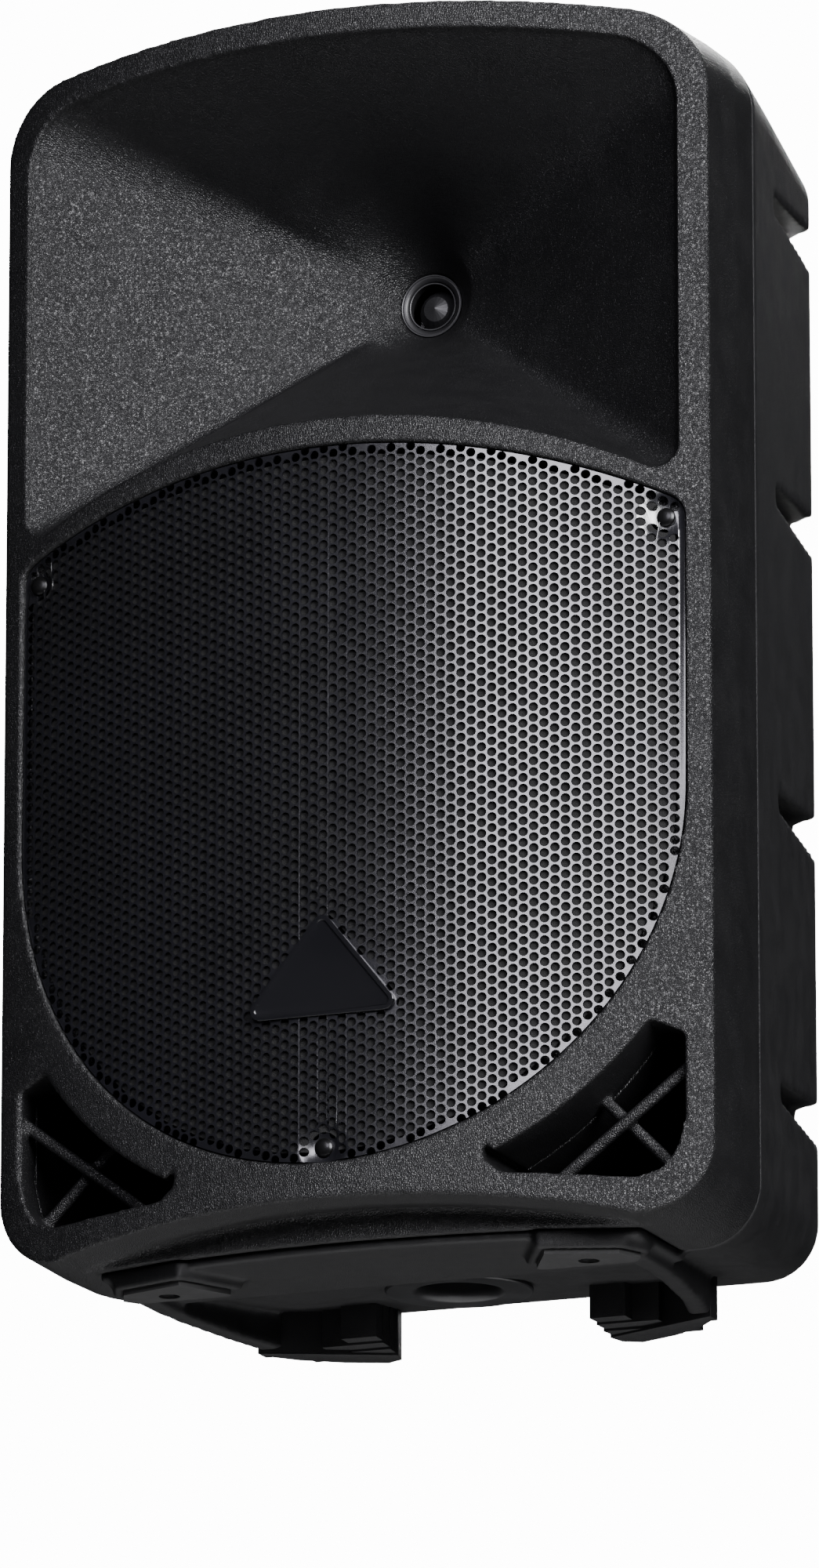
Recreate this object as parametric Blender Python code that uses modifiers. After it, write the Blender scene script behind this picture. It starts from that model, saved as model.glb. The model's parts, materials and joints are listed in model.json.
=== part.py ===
"""Active two-way PA loudspeaker on four feet, with a pole socket underneath.

Frame: origin on the floor under the middle of the cabinet, +X to the right seen from the front,
-Y out of the front, +Z up.  Metres throughout.  Depths are measured back from the grille's apex.
"""

import math

import bmesh
import bpy
from mathutils import Matrix, Vector

# ---------------------------------------------------------------- driving dimensions
REAR_DEPTH = 0.266
FACE_PROUD = 0.002
WALL = 0.004
GAP = 0.0003
BOW_RADIUS = 0.411
CROWN_RADIUS = 0.97
MID_DEPTH = (REAR_DEPTH - FACE_PROUD) / 2
PARTING = 0.105

# depth, half width, top, bottom, top corner radius, bottom corner radius
STATIONS = (
    (-0.010, 0.1725, 0.5786, 0.0100, 0.038, 0.036),
    (0.030, 0.1725, 0.5800, 0.0100, 0.038, 0.034),
    (0.075, 0.1722, 0.5840, 0.0100, 0.037, 0.031),
    (PARTING, 0.1695, 0.5860, 0.0100, 0.034, 0.029),
    (0.150, 0.1625, 0.5790, 0.0145, 0.026, 0.027),
    (0.242, 0.1480, 0.5690, 0.0240, 0.020, 0.025),
    (REAR_DEPTH, 0.1250, 0.5480, 0.0440, 0.018, 0.022),
)

GRILLE_Z = 0.2072
GRILLE_HALF = 0.1617
GRILLE_DROP = 0.1677
GRILLE_TOP = 0.3715
GRILLE_ARC = 0.399
GRILLE_SHEET = 0.0015
FOAM_FRONT = 0.0018
FOAM_THICK = 0.0011
CUP_DEPTH = 0.0042
CUP_FLOOR = 0.0027
GRILLE_SCREWS = ((-0.153, 0.3299), (0.153, 0.3299), (0.0, 0.0465))

BAFFLE = 0.036
BAFFLE_THICK = 0.006
WOOFER_HOLE = 0.141
FLANGE_RADIUS = 0.1515

HORN_Z = 0.4759
HORN_HALF = 0.159
HORN_TOP = 0.5659
HORN_FOOT = 0.3846
HORN_FOOT_ARC = 0.360
HORN_ROUND_DEPTH = 0.1175
HORN_ROUND = 0.0257
THROAT_DEPTH = 0.133
HORN_STRAIGHT = 0.0012
FLANGE_THICK = 0.004
DRIVER_RADIUS = 0.043
THROAT = 0.0152

POLE_DEPTH = 0.167
POLE_BORE = 0.0183
POLE_TOP = 0.100
POLE_FACE = 0.0141

PLATE_OUTLINE = ((0.0740, 0.0730), (0.0880, 0.0455), (0.1195, 0.0565), (0.1250, 0.0690),
                 (0.1205, 0.0760), (0.0770, 0.0760))
PLATE_SCREW = (0.1014, 0.0665)
BOSS_FACE = 0.0016
BOSS_EDGE = 0.0045
TONGUE_HALF = 0.1305
FLOOR_LOW = 0.0065
FLOOR_TOP = 0.0115
PLATE_THICK = 0.0040

BAR_RADIUS = 0.0030
PORT_BARS = (((0.168, 0.0839), (0.090, 0.0248), 0.0390), ((0.098, 0.0868), (0.160, 0.0249), 0.0440))

NOTCH_FLOORS = (0.5080, 0.3680, 0.2225, 0.0865)
NOTCH_TIP = 0.1525
NOTCH_END = 0.262
NOTCH_SEAT = 0.1545
NOTCH_SWING = 13.5

AMP_HALF = 0.070
AMP_LOW = 0.150
AMP_HIGH = 0.500
AMP_FLOOR = 0.240
PANEL = 0.0020

# The exact solver leaves open seams where these long shells cross at shallow angles.
SOLVER = "MANIFOLD"

BLACK = (0.012, 0.012, 0.013)
COAL = (0.020, 0.020, 0.021)


def depth(value):
    """World Y of a depth behind the grille's apex."""
    return value - MID_DEPTH


def bow(x):
    """Depth of the bowed front at a distance x from the middle."""
    return BOW_RADIUS - math.sqrt(BOW_RADIUS ** 2 - x ** 2)


# ---------------------------------------------------------------- scene helpers
def clear_scene():
    for old in list(bpy.data.objects):
        bpy.data.objects.remove(old, do_unlink=True)


def make_collection(name):
    group = bpy.data.collections.new(name)
    bpy.context.scene.collection.children.link(group)
    return group


def make_material(name, colour, roughness, metallic=0.0):
    mat = bpy.data.materials.new(name)
    mat.use_nodes = True
    shader = mat.node_tree.nodes["Principled BSDF"]
    shader.inputs["Base Color"].default_value = (*colour, 1.0)
    shader.inputs["Roughness"].default_value = roughness
    shader.inputs["Metallic"].default_value = metallic
    mat.diffuse_color = (*colour, 1.0)
    return mat


clear_scene()
PARTS = make_collection("pa_speaker")
CUTTERS = make_collection("cutters")
MATERIALS = {}


def finish(name, colour, roughness, metallic=0.0):
    MATERIALS[name] = make_material(name, colour, roughness, metallic)


finish("grained_shell", BLACK, 0.55)
finish("rear_plastic", COAL, 0.60)
finish("grille_paint", (0.015, 0.015, 0.017), 0.35, 0.6)
finish("black_screw", (0.010, 0.010, 0.011), 0.30, 0.8)
finish("gloss_badge", (0.006, 0.006, 0.007), 0.12)
finish("soft_rubber", (0.014, 0.014, 0.014), 0.80)
finish("paper_cone", (0.022, 0.022, 0.022), 0.85)
finish("cast_metal", (0.10, 0.10, 0.105), 0.45, 0.9)
finish("ferrite", (0.05, 0.05, 0.052), 0.70)
finish("bright_metal", (0.60, 0.60, 0.62), 0.30, 1.0)
finish("spider_cloth", (0.45, 0.33, 0.14), 0.90)
finish("copper_coil", (0.55, 0.27, 0.12), 0.40, 1.0)
finish("painted_steel", (0.018, 0.018, 0.019), 0.50, 0.5)
finish("circuit_green", (0.02, 0.12, 0.05), 0.50)
finish("knob_plastic", (0.015, 0.015, 0.016), 0.40)
finish("jack_plastic", (0.018, 0.018, 0.020), 0.45)
finish("light_pipe", (0.05, 0.45, 0.12), 0.20)
finish("grey_foam", (0.16, 0.16, 0.16), 0.95)
finish("black_foam", (0.006, 0.006, 0.006), 1.0)


def add_object(name, mesh, mat=None, cutter=False):
    obj = bpy.data.objects.new(name, mesh)
    (CUTTERS if cutter else PARTS).objects.link(obj)
    if cutter:
        obj.hide_render = True
        obj.display_type = "WIRE"
    else:
        mesh.materials.append(MATERIALS[mat])
    return obj


def mesh_from(name, build):
    """A new mesh filled by build(bm), with its faces pointing out."""
    mesh = bpy.data.meshes.new(name)
    bm = bmesh.new()
    build(bm)
    bmesh.ops.recalc_face_normals(bm, faces=bm.faces)
    bm.to_mesh(mesh)
    bm.free()
    return mesh


def soften(obj, angle=35.0):
    obj.data.shade_smooth()
    obj.data.set_sharp_from_angle(angle=math.radians(angle))
    return obj


def box(name, low, high, mat=None, cutter=False, edge=0.0):
    """A box between two corners, with an optional bevelled edge."""
    size = [b - a for a, b in zip(low, high)]
    middle = [(a + b) / 2 for a, b in zip(low, high)]

    def build(bm):
        bmesh.ops.create_cube(bm, size=1.0, matrix=Matrix.Diagonal((*size, 1.0)))

    obj = add_object(name, mesh_from(name, build), mat, cutter)
    obj.location = middle
    if edge:
        bevel = obj.modifiers.new("edge", "BEVEL")
        bevel.width = edge
        bevel.segments = 2
    return obj


AXES = {"X": Matrix.Rotation(math.pi / 2, 4, "Y"), "Y": Matrix.Rotation(-math.pi / 2, 4, "X"),
        "Z": Matrix.Identity(4)}


def rod(name, centre, radius, length, axis="Y", mat=None, cutter=False, sides=24, tip=None):
    """A cylinder or cone about its centre, along a row axis."""

    def build(bm):
        bmesh.ops.create_cone(bm, cap_ends=True, segments=sides, radius1=radius,
                              radius2=radius if tip is None else tip, depth=length)

    obj = add_object(name, mesh_from(name, build), mat, cutter)
    obj.matrix_world = Matrix.Translation(centre) @ AXES[axis]
    return soften(obj)


def turned(name, profile, centre, axis="Y", mat=None, cutter=False, sides=40):
    """A solid of revolution from (radius, height) points, outer side first, top to bottom."""
    mesh = bpy.data.meshes.new(name)
    closed = profile[0][0] > 1e-6 or profile[-1][0] > 1e-6
    edges = [(i, i + 1) for i in range(len(profile) - 1)]
    if closed:
        edges.append((len(profile) - 1, 0))
    mesh.from_pydata([(r, 0.0, h) for r, h in profile], edges, [])
    obj = add_object(name, mesh, mat, cutter)
    screw = obj.modifiers.new("turn", "SCREW")
    screw.steps = sides
    screw.render_steps = sides
    screw.use_merge_vertices = True
    screw.merge_threshold = 0.00001
    obj.matrix_world = Matrix.Translation(centre) @ AXES[axis]
    return obj


def plate(name, outline, low, high, plane="XZ", mat=None, cutter=False):
    """A flat outline extruded between two levels along the third axis."""
    curve = bpy.data.curves.new(name, "CURVE")
    curve.dimensions = "2D"
    curve.fill_mode = "BOTH"
    curve.resolution_u = 1
    curve.render_resolution_u = 0
    curve.extrude = (high - low) / 2
    line = curve.splines.new("POLY")
    line.points.add(len(outline) - 1)
    for point, (u, v) in zip(line.points, outline):
        point.co = (u, v, 0.0, 1.0)
    line.use_cyclic_u = True
    temp = bpy.data.objects.new(name + "_curve", curve)
    CUTTERS.objects.link(temp)
    bpy.context.view_layer.update()
    graph = bpy.context.evaluated_depsgraph_get()
    mesh = bpy.data.meshes.new_from_object(temp.evaluated_get(graph))
    bpy.data.objects.remove(temp)
    bpy.data.curves.remove(curve)
    turn = {"XZ": Matrix.Rotation(math.pi / 2, 4, "X"), "XY": Matrix.Identity(4),
            "YZ": Matrix(((0, 0, 1, 0), (1, 0, 0, 0), (0, 1, 0, 0), (0, 0, 0, 1)))}[plane]
    shift = {"XZ": Vector((0, (low + high) / 2, 0)), "XY": Vector((0, 0, (low + high) / 2)),
             "YZ": Vector(((low + high) / 2, 0, 0))}[plane]
    bm = bmesh.new()
    bm.from_mesh(mesh)
    bmesh.ops.remove_doubles(bm, verts=bm.verts, dist=0.00001)
    bmesh.ops.transform(bm, matrix=Matrix.Translation(shift) @ turn, verts=bm.verts)
    bmesh.ops.recalc_face_normals(bm, faces=bm.faces)
    bm.to_mesh(mesh)
    bm.free()
    mesh.materials.clear()
    mesh.name = name
    return soften(add_object(name, mesh, mat, cutter))


def loft(name, rings, mat=None, cutter=False):
    """A closed body through rings of equal length."""

    def build(bm):
        rows = [[bm.verts.new(p) for p in ring] for ring in rings]
        count = len(rows[0])
        for a, b in zip(rows, rows[1:]):
            for i in range(count):
                j = (i + 1) % count
                bm.faces.new((a[i], a[j], b[j], b[i]))
        bmesh.ops.triangulate(bm, faces=bm.faces[:])
        bm.faces.new(rows[0])
        bm.faces.new(list(reversed(rows[-1])))

    return soften(add_object(name, mesh_from(name, build), mat, cutter))


def boolean(obj, other, operation="DIFFERENCE"):
    mod = obj.modifiers.new(operation.lower(), "BOOLEAN")
    mod.operation = operation
    mod.solver = SOLVER
    mod.object = other
    return obj


def cut(obj, *others):
    for other in others:
        boolean(obj, other)
    return obj


def join(obj, *others):
    for other in others:
        boolean(obj, other, "UNION")
    return obj


# ---------------------------------------------------------------- outlines
def arc(centre, radius, start, end, count):
    """Points on an arc, angles in degrees from +X."""
    steps = [math.radians(start + (end - start) * i / (count - 1)) for i in range(count)]
    return [(centre[0] + radius * math.cos(a), centre[1] + radius * math.sin(a)) for a in steps]


def mirrored(right):
    """A closed outline from its right half, listed from the top down."""
    left = [(-x, z) for x, z in reversed(right) if abs(x) > 1e-6]
    return right + left


def section(at, inset=0.0):
    """The cabinet's outline across one depth, moved in by inset."""
    for a, b in zip(STATIONS, STATIONS[1:]):
        if a[0] <= at <= b[0]:
            break
    part = (at - a[0]) / (b[0] - a[0])
    half, top, foot, top_r, foot_r = (p + (q - p) * part for p, q in zip(a[1:], b[1:]))
    half, top, foot = half - inset, top - inset, foot + inset
    top_r, foot_r = max(top_r - inset, 0.008), max(foot_r - inset, 0.008)
    crown = CROWN_RADIUS - inset
    hub = top - crown
    corner_z = hub + math.sqrt((crown - top_r) ** 2 - (half - top_r) ** 2)
    lean = math.degrees(math.atan2(corner_z - hub, half - top_r))
    right = arc((0.0, hub), crown, 90.0, lean, 6)[:-1]
    right += arc((half - top_r, corner_z), top_r, lean, 0.0, 6)
    right += arc((half - foot_r, foot + foot_r), foot_r, 0.0, -90.0, 6)
    right.append((0.0, foot))
    return mirrored(right)


def body_loft(name, depths, inset=0.0, mat=None, cutter=False):
    rings = [[(x, depth(d), z) for x, z in section(min(max(d, -0.01), REAR_DEPTH), inset)]
             for d in depths]
    return loft(name, rings, mat, cutter)


def grille_outline(grow=0.0):
    """Arched top, straight sides and a round lower edge."""
    hub = GRILLE_TOP - GRILLE_ARC
    radius = GRILLE_ARC + grow
    half = GRILLE_HALF + grow
    corner = 0.010 + grow
    corner_z = hub + math.sqrt((radius - corner) ** 2 - (half - corner) ** 2)
    lean = math.degrees(math.atan2(corner_z - hub, half - corner))
    right = arc((0.0, hub), radius, 90.0, lean, 8)[:-1]
    right += arc((half - corner, corner_z), corner, lean, 0.0, 4)
    for i in range(13):
        angle = math.pi / 2 * i / 12
        right.append((half * math.cos(angle), GRILLE_Z - (GRILLE_DROP + grow) * math.sin(angle)))
    right[-1] = (0.0, right[-1][1])
    return mirrored(right)


def horn_outline(grow=0.0):
    """The horn's mouth: arched top and foot, straight sides, rounded corners."""
    half = HORN_HALF + grow
    top_r = 0.030 + grow
    foot_r = 0.010 + grow
    hub = HORN_TOP + grow - CROWN_RADIUS
    corner_z = hub + math.sqrt((CROWN_RADIUS - top_r) ** 2 - (half - top_r) ** 2)
    lean = math.degrees(math.atan2(corner_z - hub, half - top_r))
    right = arc((0.0, hub), CROWN_RADIUS, 90.0, lean, 7)[:-1]
    right += arc((half - top_r, corner_z), top_r, lean, 0.0, 5)
    side = right[-1]
    foot_hub = HORN_FOOT - grow - HORN_FOOT_ARC
    bend = HORN_FOOT_ARC + foot_r
    foot_z = foot_hub + math.sqrt(bend ** 2 - (half - foot_r) ** 2)
    tilt = math.degrees(math.atan2(foot_z - foot_hub, half - foot_r))
    for i in range(1, 5):
        right.append((side[0], side[1] + (foot_z - side[1]) * i / 5))
    right += arc((half - foot_r, foot_z), foot_r, 0.0, tilt - 180.0, 4)
    right += arc((0.0, foot_hub), HORN_FOOT_ARC, tilt, 90.0, 8)[1:]
    right[-1] = (0.0, right[-1][1])
    return mirrored(right)


def horn_rings(grow=0.0):
    """Rings from in front of the mouth to behind the throat."""
    mouth = horn_outline()
    angles = [math.atan2(z - HORN_Z, x) for x, z in mouth]
    rings = []
    steps = 6
    for i in range(-1, steps + 1):
        part = i / steps
        ring = []
        for (x, z), angle in zip(mouth, angles):
            target = (HORN_ROUND * math.cos(angle), HORN_Z + HORN_ROUND * math.sin(angle))
            px = x + (target[0] - x) * part
            pz = z + (target[1] - z) * part
            out = Vector((px, pz - HORN_Z)).normalized() * grow
            face = bow(x) + HORN_STRAIGHT
            deep = face + (HORN_ROUND_DEPTH - face) * part
            if i < 0:
                px, pz, deep = x, z, -0.05
            ring.append((px + out.x, depth(deep), pz + out.y))
        rings.append(ring)
    tail = THROAT_DEPTH + FLANGE_THICK + (0.001 if grow == 0 else 0.0)
    for deep in (THROAT_DEPTH, tail):
        rings.append([((THROAT + grow) * math.cos(a), depth(deep), HORN_Z + (THROAT + grow) * math.sin(a))
                      for a in angles])
    return rings


def port_outline(grow=0.0):
    """The right-hand bass port: a three-sided opening that follows the grille's edge."""
    a_axis = GRILLE_HALF + 0.0185 - grow
    b_axis = GRILLE_DROP + 0.0185 - grow
    edge = []
    for i in range(8):
        angle = math.radians(36.0 + (64.0 - 36.0) * i / 7)
        edge.append((a_axis * math.cos(angle), GRILLE_Z - b_axis * math.sin(angle)))
    edge = [p for p in edge if p[0] < 0.160 + grow]
    outer = [(0.160 + grow, edge[0][1] - 0.006), (0.160 + grow, 0.052 - grow),
             (0.157 + grow, 0.039 - grow), (0.150 + grow, 0.030 - grow), (0.140 + grow, 0.0262 - grow)]
    inner = [(0.082 - grow, 0.0300 - grow), (0.0745 - grow, 0.0360 - grow), (0.0735 - grow, 0.0440)]
    return outer + inner + list(reversed(edge))


def flipped(outline):
    return [(-x, z) for x, z in reversed(outline)]


def bar(name, start, end, deep, way):
    """A round brace across a port, between two (x, z) points at one depth."""
    a = Vector((start[0] * way, depth(deep), start[1]))
    b = Vector((end[0] * way, depth(deep), end[1]))
    obj = rod(name, (0, 0, 0), BAR_RADIUS, (b - a).length, "Z", cutter=True, sides=10)
    obj.matrix_world = Matrix.Translation((a + b) / 2) @ (b - a).to_track_quat("Z",
                                                                               "Y").to_matrix().to_4x4()
    return obj


def lip_depth(x, back=0.0):
    """Depth of the toe recess's rear wall, the second lip under the front."""
    return 0.0345 + x ** 2 / 0.85 + back


# ---------------------------------------------------------------- front shell
def front_shell():
    shell = body_loft("front_shell", (-0.010, 0.030, 0.052, 0.075, 0.090, PARTING - GAP / 2),
                      mat="grained_shell")
    arc_half = 0.19
    xs = [arc_half * (i / 12.5 - 1) for i in range(26)]
    face = plate("cut_face", [(x, depth(bow(x) - FACE_PROUD)) for x in xs]
                 + [(arc_half, depth(-0.06)), (-arc_half, depth(-0.06))], -0.05, 0.65, "XY", cutter=True)
    behind = plate("cut_face_back", [(x, depth(bow(x) - FACE_PROUD + WALL)) for x in xs]
                   + [(arc_half, depth(-0.06)), (-arc_half, depth(-0.06))], -0.05, 0.65, "XY",
                   cutter=True)
    inside = body_loft("inside_front", (-0.005, 0.030, 0.075, PARTING + 0.01), WALL, cutter=True)
    well = plate("well_wall", grille_outline(WALL), depth(-0.05), depth(BAFFLE + BAFFLE_THICK),
                 "XZ", cutter=True)
    horn_wall = loft("horn_wall", horn_rings(WALL), cutter=True)
    cut(inside, behind, well, horn_wall)
    for side, turn in (("right", list), ("left", flipped)):
        wall = plate("port_wall_" + side, turn(port_outline(0.003)), depth(-0.05), depth(0.050),
                     "XZ", cutter=True)
        boolean(inside, wall)
    boolean(inside, toe_solid("toe_wall", WALL))
    flange = rod("horn_flange", (0, depth(THROAT_DEPTH + FLANGE_THICK / 2), HORN_Z), DRIVER_RADIUS,
                 FLANGE_THICK,
                 cutter=True, sides=40)
    join(shell, horn_wall)
    cut(shell, face, inside)
    join(shell, flange)
    recess = plate("cut_recess", grille_outline(), depth(-0.05), depth(BAFFLE), "XZ", cutter=True)
    for i, (x, z) in enumerate(GRILLE_SCREWS):
        start = bow(x) + CUP_DEPTH + GAP
        post = rod(f"screw_post_{i}", (x, depth(start + 0.02), z), 0.0050, 0.04, cutter=True, sides=16)
        boolean(recess, post)
    hole = rod("cut_woofer", (0, depth(0.05), GRILLE_Z), WOOFER_HOLE, 0.10, cutter=True, sides=48)
    horn = loft("cut_horn", horn_rings(), cutter=True)
    cut(shell, recess, hole, horn)
    for side, turn in (("right", list), ("left", flipped)):
        port = plate("cut_port_" + side, turn(port_outline()), depth(-0.05), depth(0.06), "XZ",
                     cutter=True)
        way = 1 if side == "right" else -1
        for i, (start, end, deep) in enumerate(PORT_BARS):
            boolean(port, bar(f"port_bar_{side}_{i}", start, end, deep, way))
        boolean(shell, port)
    cut(shell, toe_solid("cut_toe", 0.0), tongue_solid("cut_tongue", GAP, -0.01, FLOOR_TOP + GAP))
    for side, way in (("right", 1), ("left", -1)):
        boolean(shell, plate("cut_boss_room_" + side, [(x * way, depth(d)) for x, d in
                             spread(PLATE_OUTLINE, BOSS_EDGE + GAP)], -0.01, FLOOR_TOP + GAP, "XY",
                             cutter=True))
    for i, (x, z) in enumerate(GRILLE_SCREWS):
        boolean(shell, rod(f"cut_pilot_{i}", (x, depth(bow(x) + 0.004), z), 0.0023, 0.024,
                           cutter=True, sides=12))
    return shell


def toe_outline(grow):
    """Section across the recess under the front's lower edge."""
    top_mid = 0.0230 + grow
    half = 0.142 + grow
    right = [(0.0, top_mid)]
    right += [(x, top_mid - (0.779 - math.sqrt(0.779 ** 2 - x ** 2))) for x in (0.035, 0.07, 0.105, 0.13)]
    right += [(half, 0.0085 + grow / 2), (half, -0.02), (0.0, -0.02)]
    return mirrored(right)


def toe_solid(name, grow):
    """The space under the front's lower edge, back to the second lip."""
    body = plate(name, toe_outline(grow), depth(-0.05), depth(0.12), "XZ", cutter=True)
    xs = [0.19 * (i / 8 - 1) for i in range(17)]
    keep = plate(name + "_lip", [(x, depth(lip_depth(x, grow - 0.006))) for x in xs]
                 + [(0.19, depth(0.2)), (-0.19, depth(0.2))], -0.05, 0.10, "XY", cutter=True)
    return cut(body, keep)


def tongue_solid(name, grow, low, high):
    """The rear shell's floor where it runs forward between the front shell's lower corners."""
    half = TONGUE_HALF + grow
    xs = [half * (i / 8 - 1) for i in range(17)]
    outline = [(x, depth(lip_depth(x, -grow))) for x in xs] + [(half, depth(0.112)),
                                                               (-half, depth(0.112))]
    return plate(name, outline, low, high, "XY", cutter=True)


# ---------------------------------------------------------------- rear shell
def foot_outline(layer):
    """Plan of one terrace of a rear foot; layer 3 is the rear rim."""
    start = (0.196, 0.205, 0.214, 0.223)[layer]
    outer = (0.070, 0.083, 0.096, 0.1115)[layer]
    rear = [(0.1115, 0.196), (0.108, 0.206), (0.099, 0.217), (0.082, 0.2295), (0.063, 0.238)]
    reach = [p for p in rear if p[0] < outer - 0.002] or [rear[-1]]
    first = start if layer < 3 else 0.196
    return [(0.0525, start), (outer, first), (outer, reach[0][1] - 0.0005)] + reach + [(0.0545, 0.233)]


def notch(name, z, way, grow=0.0):
    """A grip notch in the side wall: low in front, taller and deeper to the rear corner."""
    tip, end = depth(NOTCH_TIP - grow), depth(NOTCH_END)
    outline = [(tip, z + 0.001 - grow), (tip, z + 0.009 + grow), (end, z + 0.0215 + grow),
               (end, z - grow)]
    low, high = (-grow, 0.022) if way > 0 else (-0.022, grow)
    piece = plate(name, outline, low, high, "YZ", cutter=True)
    piece.matrix_world = (Matrix.Translation((NOTCH_SEAT * way, depth(NOTCH_TIP), 0))
                          @ Matrix.Rotation(math.radians(NOTCH_SWING) * way, 4, "Z")
                          @ Matrix.Translation((0, -depth(NOTCH_TIP), 0)))
    return piece


def rear_shell():
    shell = body_loft("rear_shell", (PARTING + GAP / 2, 0.150, 0.196, 0.242, REAR_DEPTH),
                      mat="rear_plastic")
    inside = body_loft("inside_rear", (PARTING - 0.004, 0.150, 0.242, REAR_DEPTH - WALL), WALL,
                       cutter=True)
    well = box("amp_well_wall", (-AMP_HALF - WALL, depth(AMP_FLOOR - WALL), AMP_LOW - WALL),
               (AMP_HALF + WALL, depth(0.30), AMP_HIGH + WALL), cutter=True)
    grip = box("handle_well_wall", (-0.066, depth(0.127), 0.530), (0.066, depth(0.213), 0.62),
               cutter=True)
    socket = rod("socket_wall", (0, depth(POLE_DEPTH), 0.03), 0.027, 0.10, "Z", cutter=True, sides=32)
    cut(inside, well, grip, socket)
    for side, way in (("right", 1), ("left", -1)):
        for i, z in enumerate(NOTCH_FLOORS):
            boolean(inside, notch(f"notch_wall_{side}_{i}", z, way, WALL))
    boolean(shell, inside)
    join(shell, tongue_solid("tongue", 0.0, FLOOR_LOW, FLOOR_TOP))
    for side, way in (("right", 1), ("left", -1)):
        boss = plate("boss_" + side, [(x * way, depth(d)) for x, d in boss_outline()], BOSS_FACE, 0.0100,
                     "XY", cutter=True)
        join(shell, boss)
        front = ((0.1140, 0.0735), (0.1250, 0.0735), (0.1245, 0.1090), (0.1140, 0.1090))
        back = ((0.1140, 0.1065), (0.1245, 0.1065), (0.1235, 0.125), (0.1170, 0.170), (0.1112, 0.198),
                (0.1000, 0.198), (0.1070, 0.170), (0.1130, 0.125))
        for part, outline, top in (("front", front, FLOOR_TOP - 0.001), ("back", back, 0.0260)):
            ridge = plate(f"ridge_{side}_{part}", [(x * way, depth(d)) for x, d in outline], BOSS_FACE,
                          top,
                          "XY", cutter=True)
            join(shell, ridge)
        for layer in range(4):
            foot = plate(f"foot_{side}_{layer}", [(x * way, depth(d)) for x, d in foot_outline(layer)],
                         0.0036 - 0.0012 * layer, 0.0400 - 0.002 * layer, "XY", cutter=True)
            join(shell, foot)
        for i, z in enumerate(NOTCH_FLOORS):
            boolean(shell, notch(f"cut_notch_{side}_{i}", z, way))
    for side, way in (("right", 1), ("left", -1)):
        pocket = plate("cut_boss_" + side, [(x * way, depth(d)) for x, d in spread(PLATE_OUTLINE, GAP)],
                       -0.01, PLATE_THICK + GAP, "XY", cutter=True)
        pilot = rod("cut_foot_pilot_" + side, (PLATE_SCREW[0] * way, depth(PLATE_SCREW[1]), 0.006),
                    0.0019,
                    0.010, "Z", cutter=True, sides=12)
        cut(shell, pocket, pilot)
    amp = box("cut_amp_well", (-AMP_HALF, depth(AMP_FLOOR), AMP_LOW), (AMP_HALF, depth(0.32), AMP_HIGH),
              cutter=True)
    opening = box("cut_amp_opening", (-AMP_HALF + 0.009, depth(0.2), AMP_LOW + 0.009),
                  (AMP_HALF - 0.009, depth(0.3), AMP_HIGH - 0.009), cutter=True)
    grip_cut = box("cut_handle_well", (-0.062, depth(0.131), 0.534), (0.062, depth(0.209), 0.65),
                   cutter=True)
    bore = rod("cut_socket_bore", (0, depth(POLE_DEPTH), 0.03), 0.0218 + GAP, 0.20, "Z", cutter=True,
               sides=32)
    seat = rod("cut_socket_seat", (0, depth(POLE_DEPTH), 0.0), 0.0345, 2 * (POLE_FACE + 0.0025 + GAP),
               "Z",
               cutter=True, sides=40)
    cut(shell, amp, opening, grip_cut, bore, seat)
    return shell


def boss_outline():
    return spread(PLATE_OUTLINE, BOSS_EDGE)


def spread(points, by):
    """An outline moved outwards by a distance, corner by corner."""
    count = len(points)
    area = sum(points[i][0] * points[(i + 1) % count][1] - points[(i + 1) % count][0] * points[i][1]
               for i in range(count))
    turn = 1.0 if area > 0 else -1.0
    result = []
    for i in range(count):
        a = Vector(points[i - 1])
        b = Vector(points[i])
        c = Vector(points[(i + 1) % count])
        first = (b - a).normalized()
        second = (c - b).normalized()
        n_first = Vector((first.y, -first.x)) * turn
        n_second = Vector((second.y, -second.x)) * turn
        mid = (n_first + n_second).normalized()
        result.append(tuple(b + mid * (by / max(mid.dot(n_first), 0.4))))
    return result


# ---------------------------------------------------------------- grille and badge
def badge_outline(grow=0.0):
    """A triangle with rounded corners, point up."""
    radius = 0.0045 + grow
    corners = (((0.0, 0.1482), 30.0, 150.0), ((-0.0300, 0.1110), 150.0, 270.0), ((0.0300, 0.1110), 270.0,
                                                                                 390.0))
    points = []
    for centre, start, end in corners:
        points += arc(centre, radius, start, end, 5)
    return points


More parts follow.
